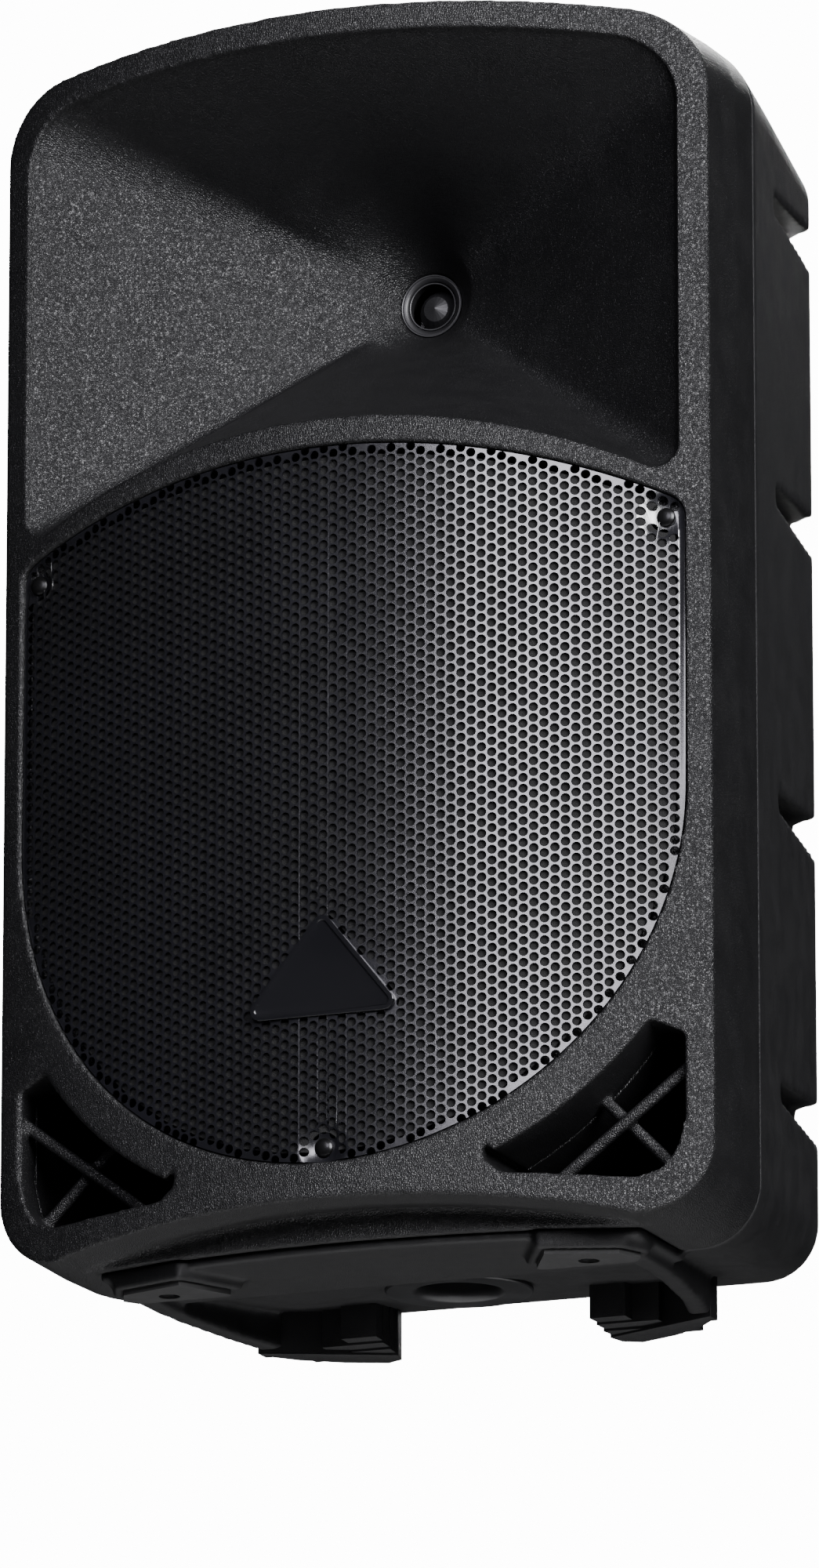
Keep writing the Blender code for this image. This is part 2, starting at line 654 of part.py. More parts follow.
def grille():
    half = 0.19
    xs = [half * (i / 12.5 - 1) for i in range(26)]
    front = [(x, depth(bow(x))) for x in xs]
    back = [(x, depth(bow(x) + GRILLE_SHEET)) for x in reversed(xs)]
    sheet = plate("grille", front + back, 0.0, 0.60, "XY", mat="grille_paint")
    boolean(sheet, plate("grille_edge", grille_outline(-0.0006), depth(-0.05), depth(0.08), "XZ",
                         cutter=True),
            "INTERSECT")
    for i, (x, z) in enumerate(GRILLE_SCREWS):
        start = bow(x) + 0.0008
        join(sheet, rod(f"screw_cup_{i}", (x, depth((start + bow(x) + CUP_DEPTH) / 2), z), 0.0066,
                        bow(x) + CUP_DEPTH - start, cutter=True, sides=20))
    for i, (x, z) in enumerate(GRILLE_SCREWS):
        floor = bow(x) + CUP_FLOOR
        cut(sheet, rod(f"cut_cup_{i}", (x, depth(floor - 0.01), z), 0.0052, 0.02, cutter=True, sides=20),
            rod(f"cut_screw_hole_{i}", (x, depth(floor), z), 0.0024, 0.02, cutter=True, sides=12))
        side = ("top_left", "top_right", "bottom")[i]
        head = floor - GAP
        turned("grille_screw_" + side,
               [(0, head + 0.010), (0.0019, head + 0.010), (0.0019, head), (0.0045, head),
                (0.0045, head - 0.0012),
                (0.0030, head - 0.0024), (0, head - 0.0026)],
               (x, depth(0), z), mat="black_screw", sides=16)
    boolean(sheet, plate("cut_badge", badge_outline(GAP), depth(-0.05), depth(0.02), "XZ", cutter=True))
    plate("badge", badge_outline(), depth(-0.0015), depth(0.0030), "XZ", mat="gloss_badge")


def grille_foam():
    """The thin sheet of acoustic foam behind the grille."""
    xs = [0.19 * (i / 8 - 1) for i in range(17)]
    front = [(x, depth(bow(x) + FOAM_FRONT)) for x in xs]
    back = [(x, depth(bow(x) + FOAM_FRONT + FOAM_THICK)) for x in reversed(xs)]
    sheet = plate("grille_foam", front + back, 0.0, 0.60, "XY", mat="black_foam")
    boolean(sheet, plate("foam_edge", grille_outline(-0.0050), depth(-0.05), depth(0.08), "XZ",
                         cutter=True),
            "INTERSECT")
    for i, (x, z) in enumerate(GRILLE_SCREWS):
        boolean(sheet, rod(f"cut_foam_{i}", (x, depth(bow(x)), z), 0.0072, 0.03, cutter=True, sides=16))
    boolean(sheet, plate("cut_foam_badge", badge_outline(0.0010), depth(-0.05), depth(0.03), "XZ",
                         cutter=True))


# ---------------------------------------------------------------- woofer
def woofer():
    at = (0, depth(0), GRILLE_Z)
    basket = turned("woofer_basket",
                    [(0.060, 0.1160), (0.1385, 0.0580), (0.1385, BAFFLE - GAP), (FLANGE_RADIUS,
                                                                                 BAFFLE - GAP),
                     (FLANGE_RADIUS, 0.0322), (0.1340, 0.0322), (0.1345, 0.0560), (0.058, 0.1125),
                     (0.030, 0.1125), (0.030, 0.1160)], at, mat="painted_steel", sides=30)
    for i in range(6):
        window = box(f"cut_window_{i}", (-0.021, -0.025, 0.072), (0.021, 0.025, 0.122), cutter=True)
        offset = window.location.copy()
        window.matrix_world = (Matrix.Translation((0, depth(0.085), GRILLE_Z))
                               @ Matrix.Rotation(math.tau * (i + 0.5) / 6, 4,
                                                 "Y") @ Matrix.Translation(offset))
        boolean(basket, window)
    turned("woofer_front_plate", [(0.060, 0.1223), (0.060, 0.1163), (0.0275, 0.1163), (0.0275, 0.1223)],
           at,
           mat="painted_steel", sides=24)
    turned("woofer_magnet", [(0.072, 0.1426), (0.072, 0.1226), (0.032, 0.1226), (0.032, 0.1426)], at,
           mat="ferrite", sides=24)
    turned("woofer_back_plate", [(0, 0.1509), (0.060, 0.1509), (0.060, 0.1429), (0.0255, 0.1429),
                                 (0.0255, 0.1165),
                                 (0, 0.1165)], at, mat="painted_steel", sides=24)
    turned("voice_coil", [(0.0268, 0.1280), (0.0268, 0.0790), (0.0261, 0.0790), (0.0261, 0.1280)], at,
           mat="copper_coil", sides=24)
    turned("woofer_cone", [(0.0275, 0.0812), (0.1165, 0.0337), (0.1165, 0.0325), (0.0275, 0.0800)], at,
           mat="paper_cone", sides=30)
    roll = [(0.1255 + 0.0085 * math.cos(a), 0.0319 - 0.0060 * math.sin(a))
            for a in [math.pi * i / 5 for i in range(6)]]
    inner = [(0.1255 + 0.0077 * math.cos(a), 0.0319 - 0.0052 * math.sin(a))
             for a in [math.pi * (5 - i) / 5 for i in range(6)]]
    turned("woofer_surround", [(0.1385, 0.0319), (0.1385, 0.0312)] + roll + inner, at, mat="soft_rubber",
           sides=24)
    dome = [math.pi / 2 * i / 4 for i in range(5)]
    outer = [(0.0448 * math.sin(a), 0.0695 - 0.0110 * math.cos(a)) for a in dome]
    under = [(0.985 * r, h + 0.0008) for r, h in outer]
    turned("dust_cap", under + outer[::-1], at, mat="paper_cone", sides=20)
    waves = [0.0277 + (0.0735 - 0.0277) * i / 6 for i in range(7)]
    lower = [(r, 0.0962 + 0.0010 * (i % 2)) for i, r in enumerate(waves)]
    upper = [(r, h + 0.0007) for r, h in lower]
    turned("woofer_spider", list(reversed(lower)) + upper, at, mat="spider_cloth", sides=20)


# ---------------------------------------------------------------- horn driver
def horn_driver():
    at = (0, depth(0), HORN_Z)
    face = THROAT_DEPTH + FLANGE_THICK + GAP
    turned("throat_ring", [(0.0149, 0.1352), (0.0149, 0.1334), (0.0118, 0.1334), (0.0118, 0.1352)], at,
           mat="bright_metal", sides=24)
    turned("driver_housing", [(0, 0.1800), (0.0300, 0.1800), (0.0430, 0.1760), (0.0430, face),
                              (0.0130, face),
                              (0.0130, 0.1430), (0.0380, 0.1430), (0.0380, 0.1730), (0, 0.1730)], at,
           mat="painted_steel", sides=24)
    turned("driver_magnet", [(0.0360, 0.1600), (0.0360, 0.1433), (0.0200, 0.1433), (0.0200, 0.1600)], at,
           mat="ferrite", sides=20)
    turned("tweeter_diaphragm", [(0, 0.1712), (0.0100, 0.1695), (0.0175, 0.1640), (0.0175, 0.1634),
                                 (0.0100, 0.1688), (0, 0.1705)], at, mat="bright_metal", sides=18)
    plug = turned("phase_plug", [(0, 0.1600), (0.0100, 0.1580), (0.0100, 0.1440), (0.0060, 0.1385),
                                 (0, 0.1365)], at,
                  mat="painted_steel", sides=18)
    for i in range(3):
        fin = box(f"plug_fin_{i}", (-0.0006, -0.0040, 0.0050), (0.0006, 0.0040, 0.01265), cutter=True)
        offset = fin.location.copy()
        fin.matrix_world = (Matrix.Translation((0, depth(0.1500), HORN_Z))
                            @ Matrix.Rotation(math.tau * i / 3, 4, "Y") @ Matrix.Translation(offset))
        join(plug, fin)


# ---------------------------------------------------------------- ports, feet, pole socket, handle
def ports():
    for side, turn in (("right", list), ("left", flipped)):
        duct = plate("port_duct_" + side, turn(port_outline(0.0026)), depth(0.0503), depth(0.104), "XZ",
                     mat="grained_shell")
        boolean(duct, plate("cut_duct_" + side, turn(port_outline(0.0002)), depth(0.0), depth(0.16), "XZ",
                            cutter=True))


def foot_plates():
    for side, way in (("right", 1), ("left", -1)):
        pad = plate("foot_plate_" + side, [(x * way, depth(d)) for x, d in PLATE_OUTLINE], 0.0,
                    PLATE_THICK, "XY",
                    mat="soft_rubber")
        x, y = PLATE_SCREW[0] * way, depth(PLATE_SCREW[1])
        cut(pad, rod("cut_pad_seat_" + side, (x, y, 0.0), 0.0049, 0.0048, "Z", cutter=True, sides=16),
            rod("cut_pad_hole_" + side, (x, y, 0.0), 0.0021, 0.02, "Z", cutter=True, sides=12))
        turned("foot_screw_" + side, [(0, 0.0105), (0.0016, 0.0105), (0.0016, 0.0021), (0.0045, 0.0021),
                                      (0.0045, 0.0014), (0.0030, 0.0006), (0, 0.0005)], (x, y, 0), "Z",
               mat="black_screw", sides=16)


def pole_socket():
    turned("pole_socket", [(0, POLE_TOP + 0.0035), (0.0218, POLE_TOP + 0.0035),
                           (0.0218, POLE_FACE + 0.0025),
                           (0.0340, POLE_FACE + 0.0025), (0.0340, POLE_FACE), (0.0222, POLE_FACE),
                           (POLE_BORE, 0.0190), (POLE_BORE, POLE_TOP), (0, POLE_TOP)],
           (0, depth(POLE_DEPTH), 0), "Z", mat="jack_plastic", sides=24)


def handle():
    box("handle_bar", (-0.0617, depth(0.159), 0.5550), (0.0617, depth(0.183), 0.5695), "rear_plastic",
        edge=0.005)


# ---------------------------------------------------------------- amplifier
FACE = AMP_FLOOR + GAP + PANEL
JACKS = ((-0.044, 0.440), (0.0, 0.440))
LINK = (0.044, 0.440)
KNOBS = {"level_1": (-0.045, 0.370), "level_2": (-0.015, 0.370), "treble": (0.015, 0.370), "bass": (0.045,
                                                                                                    0.370)}
LEDS = {"power": (-0.020, 0.330), "signal": (0.0, 0.330), "limit": (0.020, 0.330)}
SWITCH = (-0.032, 0.195)
INLET = (0.024, 0.205)
BOARD = 0.2120
ROCKER_PIVOT = 0.0010
ROCKER_TILT = 8.0


def amp_panel():
    low, high = AMP_LOW + 0.0015, AMP_HIGH - 0.0015
    half = AMP_HALF - 0.0015
    panel = box("amp_panel", (-half, depth(AMP_FLOOR + GAP), low), (half, depth(FACE), high),
                "painted_steel")
    for i, (x, z) in enumerate(JACKS + (LINK,)):
        boolean(panel, rod(f"cut_jack_{i}", (x, depth(FACE), z), 0.0118, 0.02, cutter=True, sides=20))
    for i, (x, z) in enumerate(JACKS):
        boolean(panel, box(f"cut_latch_{i}", (x - 0.0038, depth(0.2), z + 0.0080),
                           (x + 0.0038, depth(0.3), z + 0.0142), cutter=True))
    for name, (x, z) in KNOBS.items():
        boolean(panel, rod("cut_knob_" + name, (x, depth(FACE), z), 0.0036, 0.02, cutter=True, sides=12))
    for name, (x, z) in LEDS.items():
        boolean(panel, rod("cut_led_" + name, (x, depth(FACE), z), 0.0018, 0.02, cutter=True, sides=12))
    boolean(panel, box("cut_switch", (SWITCH[0] - 0.0098, depth(0.2), SWITCH[1] - 0.0128),
                       (SWITCH[0] + 0.0098, depth(0.3), SWITCH[1] + 0.0128), cutter=True))
    boolean(panel, box("cut_inlet", (INLET[0] - 0.0138, depth(0.2), INLET[1] - 0.0188),
                       (INLET[0] + 0.0138, depth(0.3), INLET[1] + 0.0118), cutter=True))
    for i, (x, z) in enumerate(((-0.0640, 0.1565), (0.0640, 0.1565), (-0.0640, 0.4935),
                                (0.0640, 0.4935))):
        boolean(panel, rod(f"cut_panel_screw_{i}", (x, depth(FACE), z), 0.0019, 0.02, cutter=True,
                           sides=12))
        boolean(bpy.data.objects["rear_shell"], rod(f"cut_panel_pilot_{i}", (x, depth(FACE), z), 0.0019,
                                                    0.011,
                                                    cutter=True, sides=12))
        top = FACE + GAP
        turned(f"panel_screw_{i + 1}", [(0, top + 0.0020), (0.0022, top + 0.0018), (0.0034, top + 0.0008),
                                        (0.0034, top), (0.0016, top), (0.0016, top - 0.0045),
                                        (0, top - 0.0045)],
               (x, depth(0), z), mat="black_screw", sides=14)


def amp_inside():
    box("amp_board", (-0.055, depth(BOARD), 0.165), (0.055, depth(BOARD + 0.0016), 0.475),
        "circuit_green")
    sink = box("heat_sink", (-0.045, depth(0.2060), 0.250), (0.045, depth(BOARD - GAP), 0.345),
               "cast_metal")
    for i in range(7):
        x = -0.045 + 0.003 + i * 0.014
        join(sink, box(f"sink_fin_{i}", (x - 0.0012, depth(0.1850), 0.250), (x + 0.0012, depth(0.2080),
                                                                             0.345),
                       cutter=True))
    turned("toroid_transformer", [(0.034, BOARD - 0.0010), (0.034, 0.1780), (0.012, 0.1780),
                                  (0.012, BOARD - 0.0010)],
           (0, depth(0), 0.200), mat="copper_coil", sides=20)


def jack(name, at, male):
    """A round panel socket with a square flange; its face looks backwards."""
    x, z = at
    face = FACE + GAP
    body = box(name, (x - 0.0125, depth(face), z - 0.0145), (x + 0.0125, depth(face + 0.0020),
                                                             z + 0.0145),
               "jack_plastic")
    join(body, rod(name + "_barrel", (x, depth((BOARD + 0.0020 + face + 0.001) / 2), z), 0.0114,
                   face + 0.001 - BOARD - 0.0020, cutter=True, sides=20))
    if male:
        boolean(body, rod(name + "_well", (x, depth(face - 0.003), z), 0.0094, 0.020, cutter=True,
                          sides=20))
        for i in range(3):
            angle = math.radians(90 + 120 * i)
            join(body, rod(f"{name}_pin_{i}", (x + 0.0050 * math.cos(angle), depth(face - 0.0065),
                                               z + 0.0050 * math.sin(angle)), 0.0012, 0.015, cutter=True,
                           sides=8))
        return
    ring = turned(name + "_ring", [(0.0096, face + 0.01), (0.0096, face - 0.011), (0.0080, face - 0.011),
                                   (0.0080, face + 0.01)], (x, depth(0), z), cutter=True, sides=20)
    cut(body, ring, rod(name + "_bore", (x, depth(face - 0.004), z), 0.0034, 0.028, cutter=True,
                        sides=16))
    for i in range(3):
        angle = math.radians(90 + 120 * i)
        boolean(body, rod(f"{name}_hole_{i}", (x + 0.0056 * math.cos(angle), depth(face),
                                               z + 0.0056 * math.sin(angle)),
                          0.0012, 0.012, cutter=True, sides=8))
    boolean(body, box(name + "_slot", (x - 0.0034, depth(face - 0.0030), z + 0.0099),
                      (x + 0.0034, depth(face + 0.02), z + 0.0138), cutter=True))
    box(name.replace("combo_jack", "jack_latch"), (x - 0.0031, depth(face - 0.0002), z + 0.0102),
        (x + 0.0031, depth(face + 0.0042), z + 0.0135), "bright_metal")


def controls():
    for name, (x, z) in KNOBS.items():
        base = FACE + 0.0008
        knob = turned("knob_" + name, [(0, base + 0.0130), (0.0058, base + 0.0130),
                                       (0.0070, base + 0.0115),
                                       (0.0080, base), (0.0030, base), (0.0030, BOARD + 0.0220),
                                       (0, BOARD + 0.0220)], (x, depth(0), z), mat="knob_plastic",
                      sides=18)
        boolean(knob, box("cut_pointer_" + name, (x - 0.0006, depth(base + 0.0122), z + 0.001),
                          (x + 0.0006, depth(base + 0.02), z + 0.01), cutter=True))
        pot = box("pot_" + name, (x - 0.008, depth(BOARD + 0.0019), z - 0.008),
                  (x + 0.008, depth(AMP_FLOOR), z + 0.008), "jack_plastic")
        boolean(pot, rod("cut_pot_" + name, (x, depth(AMP_FLOOR), z), 0.0033, 0.014, cutter=True,
                         sides=12))
    for name, (x, z) in LEDS.items():
        turned("led_" + name, [(0, FACE + 0.0014), (0.0010, FACE + 0.0012), (0.0014, FACE + 0.0004),
                               (0.0014, FACE - 0.010), (0, FACE - 0.010)], (x, depth(0), z),
               mat="light_pipe",
               sides=12)


def power_section():
    x, z = SWITCH
    face = FACE + GAP
    frame = box("switch_frame", (x - 0.0110, depth(face), z - 0.0140), (x + 0.0110, depth(face + 0.0016),
                                                                        z + 0.0140),
                "jack_plastic")
    join(frame, box("switch_tub", (x - 0.0095, depth(face - 0.020), z - 0.0125),
                    (x + 0.0095, depth(face + 0.0005), z + 0.0125), cutter=True))
    boolean(frame, box("cut_switch_tub", (x - 0.0080, depth(face - 0.0170), z - 0.0110),
                       (x + 0.0080, depth(face + 0.01), z + 0.0110), cutter=True))
    rocker_profile = [(depth(face - 0.0085), z - 0.0085), (depth(face - 0.0005), z - 0.0102),
                      (depth(face + 0.0026), z - 0.0094), (depth(face + 0.0008), z),
                      (depth(face + 0.0026), z + 0.0094),
                      (depth(face - 0.0005), z + 0.0102), (depth(face - 0.0085), z + 0.0085)]
    rocker = plate("power_rocker", rocker_profile, x - 0.0076, x + 0.0076, "YZ", mat="knob_plastic")
    pivot = Vector((x, depth(face - ROCKER_PIVOT), z))
    rocker.matrix_world = (Matrix.Translation(pivot) @ Matrix.Rotation(math.radians(ROCKER_TILT), 4, "X")
                           @ Matrix.Translation(-pivot))
    x, z = INLET
    inlet = box("mains_inlet", (x - 0.0155, depth(face), z - 0.0205), (x + 0.0155, depth(face + 0.0020),
                                                                       z + 0.0135),
                "jack_plastic")
    join(inlet, box("inlet_tub", (x - 0.0135, depth(face - 0.0240), z - 0.0185),
                    (x + 0.0135, depth(face + 0.0005), z + 0.0115), cutter=True))
    cut(inlet, box("cut_inlet_well", (x - 0.0120, depth(face - 0.0150), z - 0.0080),
                   (x + 0.0120, depth(face + 0.01), z + 0.0080), cutter=True),
        box("cut_fuse_well", (x - 0.0105, depth(face - 0.0200), z - 0.0172),
            (x + 0.0105, depth(face + 0.01), z - 0.0105), cutter=True))
    for i, (px, pz) in enumerate(((-0.007, 0.0), (0.007, 0.0), (0.0, 0.004))):
        join(inlet, box(f"inlet_pin_{i}", (x + px - 0.0010, depth(face - 0.0160), z + pz - 0.0020),
                        (x + px + 0.0010, depth(face - 0.0010), z + pz + 0.0020), cutter=True))
    drawer = box("fuse_drawer", (x - 0.0102, depth(face - 0.0190), z - 0.0169),
                 (x + 0.0102, depth(face + 0.0012), z - 0.0108), "jack_plastic")
    boolean(drawer, box("cut_fuse_seat", (x - 0.0080, depth(face - 0.0165), z - 0.0158),
                        (x + 0.0080, depth(face - 0.0030), z - 0.0100), cutter=True))


def damping():
    for side, way in (("right", 1), ("left", -1)):
        ends = sorted((0.117 * way, 0.129 * way))
        box("damping_pad_" + side, (ends[0], depth(0.128), 0.120), (ends[1], depth(0.212), 0.440),
            "grey_foam")


front_shell()
rear_shell()
grille()
grille_foam()
woofer()
horn_driver()
ports()
foot_plates()
pole_socket()
handle()
amp_panel()
amp_inside()
for number, place in enumerate(JACKS, 1):
    jack(f"combo_jack_{number}", place, False)
jack("link_jack", LINK, True)
controls()
power_section()
damping()
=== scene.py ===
"""Looks of the PA loudspeaker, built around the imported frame.

Same frame as the model: origin on the floor under the cabinet, -Y out of the grille, +Z up, metres.
"""

import json
import math

import bmesh
import bpy
from mathutils import Matrix, Vector

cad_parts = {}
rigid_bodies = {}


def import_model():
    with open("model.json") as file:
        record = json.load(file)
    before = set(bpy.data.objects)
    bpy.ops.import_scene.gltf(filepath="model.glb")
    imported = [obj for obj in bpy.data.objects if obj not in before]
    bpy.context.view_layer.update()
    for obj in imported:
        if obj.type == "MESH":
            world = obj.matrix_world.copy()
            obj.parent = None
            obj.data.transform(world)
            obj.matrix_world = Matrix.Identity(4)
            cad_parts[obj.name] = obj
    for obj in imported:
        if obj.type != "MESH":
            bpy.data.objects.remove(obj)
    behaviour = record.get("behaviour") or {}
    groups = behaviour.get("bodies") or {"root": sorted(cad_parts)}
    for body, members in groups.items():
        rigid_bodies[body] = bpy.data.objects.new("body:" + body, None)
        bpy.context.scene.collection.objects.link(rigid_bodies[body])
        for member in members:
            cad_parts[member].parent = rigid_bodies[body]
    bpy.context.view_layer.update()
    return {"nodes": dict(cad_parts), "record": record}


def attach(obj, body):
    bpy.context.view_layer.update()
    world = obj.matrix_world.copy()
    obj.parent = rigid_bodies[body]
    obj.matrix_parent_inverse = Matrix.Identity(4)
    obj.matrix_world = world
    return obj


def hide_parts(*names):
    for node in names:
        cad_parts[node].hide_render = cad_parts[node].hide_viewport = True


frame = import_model()

# ---------------------------------------------------------------- driving dimensions
REAR_DEPTH = 0.266
FACE_PROUD = 0.002
WALL = 0.004
GAP = 0.0003
BOW_RADIUS = 0.411
CROWN_RADIUS = 0.97
MID_DEPTH = (REAR_DEPTH - FACE_PROUD) / 2
PARTING = 0.105

# depth, half width, top, bottom, top corner radius, bottom corner radius
STATIONS = (
    (-0.010, 0.1725, 0.5786, 0.0100, 0.038, 0.036),
    (0.030, 0.1725, 0.5800, 0.0100, 0.038, 0.034),
    (0.075, 0.1722, 0.5840, 0.0100, 0.037, 0.031),
    (PARTING, 0.1695, 0.5860, 0.0100, 0.034, 0.029),
    (0.150, 0.1625, 0.5790, 0.0145, 0.026, 0.027),
    (0.242, 0.1480, 0.5690, 0.0240, 0.020, 0.025),
    (REAR_DEPTH, 0.1250, 0.5480, 0.0440, 0.018, 0.022),
)

GRILLE_Z = 0.2072
GRILLE_HALF = 0.1617
GRILLE_DROP = 0.1677
GRILLE_TOP = 0.3715
GRILLE_ARC = 0.399
CUP_DEPTH = 0.0042
CUP_FLOOR = 0.0027
GRILLE_SCREWS = ((-0.153, 0.3299), (0.153, 0.3299), (0.0, 0.0465))

BAFFLE = 0.036
BAFFLE_THICK = 0.006
WOOFER_HOLE = 0.141

HORN_Z = 0.4759
HORN_HALF = 0.159
HORN_TOP = 0.5659
HORN_FOOT = 0.3846
HORN_FOOT_ARC = 0.360
HORN_ROUND_DEPTH = 0.1175
HORN_ROUND = 0.0257
THROAT_DEPTH = 0.133
HORN_STRAIGHT = 0.0012
FLANGE_THICK = 0.004
DRIVER_RADIUS = 0.043
THROAT = 0.0152

POLE_DEPTH = 0.167
POLE_BORE = 0.0183
POLE_TOP = 0.100
POLE_FACE = 0.0141

PLATE_OUTLINE = ((0.0740, 0.0730), (0.0880, 0.0455), (0.1195, 0.0565), (0.1250, 0.0690),
                 (0.1205, 0.0760), (0.0770, 0.0760))
PLATE_SCREW = (0.1014, 0.0665)
BOSS_FACE = 0.0016
BOSS_EDGE = 0.0045
TONGUE_HALF = 0.1305
FLOOR_LOW = 0.0065
FLOOR_TOP = 0.0115
PLATE_THICK = 0.0040

BAR_RADIUS = 0.0030
PORT_BARS = (((0.168, 0.0839), (0.090, 0.0248), 0.0390), ((0.098, 0.0868), (0.160, 0.0249), 0.0440))

NOTCH_FLOORS = (0.5080, 0.3680, 0.2225, 0.0865)
NOTCH_TIP = 0.1525
NOTCH_END = 0.262
NOTCH_SEAT = 0.1545
NOTCH_SWING = 13.5

AMP_HALF = 0.070
AMP_LOW = 0.150
AMP_HIGH = 0.500
AMP_FLOOR = 0.240
PANEL = 0.0020

VOXEL = 0.0013
ROUNDS = 6
HORN_WALL = 0.0085
FLOOR_Z = -1.60
FACE = AMP_FLOOR + GAP + PANEL
KNOBS = {"level_1": (-0.045, 0.370), "level_2": (-0.015, 0.370),
         "treble": (0.015, 0.370), "bass": (0.045, 0.370)}
PANEL_SCREWS = ((-0.0640, 0.1565), (0.0640, 0.1565), (-0.0640, 0.4935), (0.0640, 0.4935))

# the punched sheet and its screw dimples
HOLE = 0.0042
HOLE_ROW = 0.0050
HOLE_COLUMN = 0.0046055
SHEET = 0.0012
DIMPLE = 0.0027
SCREW_KEEP_OUT = 0.0062

# the handle's ribs
RIB = 0.0004
RIB_PITCH = 0.0062
RIBBED_HALF = 0.045

# wider than the cabinet, for shapes that cut right across it
ACROSS = 0.19

CAMERA_AT = (1.8677, -4.7330, -1.1033)
CAMERA_YAW = 21.646
CAMERA_LIFT = -14.851
LENS = 263.13
FLOOR_HALF = 1.5


def depth(value):
    """World Y of a depth behind the grille's apex."""
    return value - MID_DEPTH


def bow(x):
    """Depth of the bowed front at a distance x from the middle."""
    return BOW_RADIUS - math.sqrt(BOW_RADIUS ** 2 - x ** 2)


# ---------------------------------------------------------------- scene helpers
TOOLS = bpy.data.collections.new("tools")
LOOKS = bpy.data.collections.new("looks")
for group in (TOOLS, LOOKS):
    bpy.context.scene.collection.children.link(group)


def add_object(name, mesh):
    obj = bpy.data.objects.new(name, mesh)
    TOOLS.objects.link(obj)
    return obj


def mesh_from(name, build):
    """A new mesh filled by build(bm), with its faces pointing out."""
    mesh = bpy.data.meshes.new(name)
    bm = bmesh.new()
    build(bm)
    bmesh.ops.recalc_face_normals(bm, faces=bm.faces)
    bm.to_mesh(mesh)
    bm.free()
    return mesh


def soften(obj, angle=35.0):
    obj.data.shade_smooth()
    obj.data.set_sharp_from_angle(angle=math.radians(angle))
    return obj


def box(name, low, high, edge=0.0):
    """A box between two corners, with an optional bevelled edge."""
    size = [b - a for a, b in zip(low, high)]
    middle = [(a + b) / 2 for a, b in zip(low, high)]

    def build(bm):
        bmesh.ops.create_cube(bm, size=1.0, matrix=Matrix.Diagonal((*size, 1.0)))

    obj = add_object(name, mesh_from(name, build))
    obj.location = middle
    if edge:
        bevel = obj.modifiers.new("edge", "BEVEL")
        bevel.width = edge
        bevel.segments = 2
    return obj


AXES = {"X": Matrix.Rotation(math.pi / 2, 4, "Y"), "Y": Matrix.Rotation(-math.pi / 2, 4, "X"),
        "Z": Matrix.Identity(4)}


def rod(name, centre, radius, length, axis="Y", sides=24, tip=None):
    """A cylinder or cone about its centre, along a row axis."""

    def build(bm):
        bmesh.ops.create_cone(bm, cap_ends=True, segments=sides, radius1=radius,
                              radius2=radius if tip is None else tip, depth=length)

    obj = add_object(name, mesh_from(name, build))
    obj.matrix_world = Matrix.Translation(centre) @ AXES[axis]
    return soften(obj)


def turned(name, profile, centre, axis="Y", sides=40):
    """A solid of revolution from (radius, height) points, outer side first, top to bottom."""
    mesh = bpy.data.meshes.new(name)
    closed = profile[0][0] > 1e-6 or profile[-1][0] > 1e-6
    edges = [(i, i + 1) for i in range(len(profile) - 1)]
    if closed:
        edges.append((len(profile) - 1, 0))
    mesh.from_pydata([(r, 0.0, h) for r, h in profile], edges, [])
    obj = add_object(name, mesh)
    screw = obj.modifiers.new("turn", "SCREW")
    screw.steps = sides
    screw.render_steps = sides
    screw.use_merge_vertices = True
    screw.merge_threshold = 0.00001
    obj.matrix_world = Matrix.Translation(centre) @ AXES[axis]
    return obj


def plate(name, outline, low, high, plane="XZ"):
    """A flat outline extruded between two levels along the third axis."""
    curve = bpy.data.curves.new(name, "CURVE")
    curve.dimensions = "2D"
    curve.fill_mode = "BOTH"
    curve.resolution_u = 1
    curve.render_resolution_u = 0
    curve.extrude = (high - low) / 2
    line = curve.splines.new("POLY")
    line.points.add(len(outline) - 1)
    for point, (u, v) in zip(line.points, outline):
        point.co = (u, v, 0.0, 1.0)
    line.use_cyclic_u = True
    temp = bpy.data.objects.new(name + "_curve", curve)
    TOOLS.objects.link(temp)
    bpy.context.view_layer.update()
    graph = bpy.context.evaluated_depsgraph_get()
    mesh = bpy.data.meshes.new_from_object(temp.evaluated_get(graph))
    bpy.data.objects.remove(temp)
    bpy.data.curves.remove(curve)
    turn = {"XZ": Matrix.Rotation(math.pi / 2, 4, "X"), "XY": Matrix.Identity(4),
            "YZ": Matrix(((0, 0, 1, 0), (1, 0, 0, 0), (0, 1, 0, 0), (0, 0, 0, 1)))}[plane]
    shift = {"XZ": Vector((0, (low + high) / 2, 0)), "XY": Vector((0, 0, (low + high) / 2)),
             "YZ": Vector(((low + high) / 2, 0, 0))}[plane]
    bm = bmesh.new()
    bm.from_mesh(mesh)
    bmesh.ops.remove_doubles(bm, verts=bm.verts, dist=0.00001)
    bmesh.ops.transform(bm, matrix=Matrix.Translation(shift) @ turn, verts=bm.verts)
    bmesh.ops.recalc_face_normals(bm, faces=bm.faces)
    bm.to_mesh(mesh)
    bm.free()
    mesh.materials.clear()
    mesh.name = name
    return soften(add_object(name, mesh))


def loft(name, rings):
    """A closed body through rings of equal length."""

    def build(bm):
        rows = [[bm.verts.new(p) for p in ring] for ring in rings]
        count = len(rows[0])
        for a, b in zip(rows, rows[1:]):
            for i in range(count):
                j = (i + 1) % count
                bm.faces.new((a[i], a[j], b[j], b[i]))
        bmesh.ops.triangulate(bm, faces=bm.faces[:])
        bm.faces.new(rows[0])
        bm.faces.new(list(reversed(rows[-1])))

    return soften(add_object(name, mesh_from(name, build)))


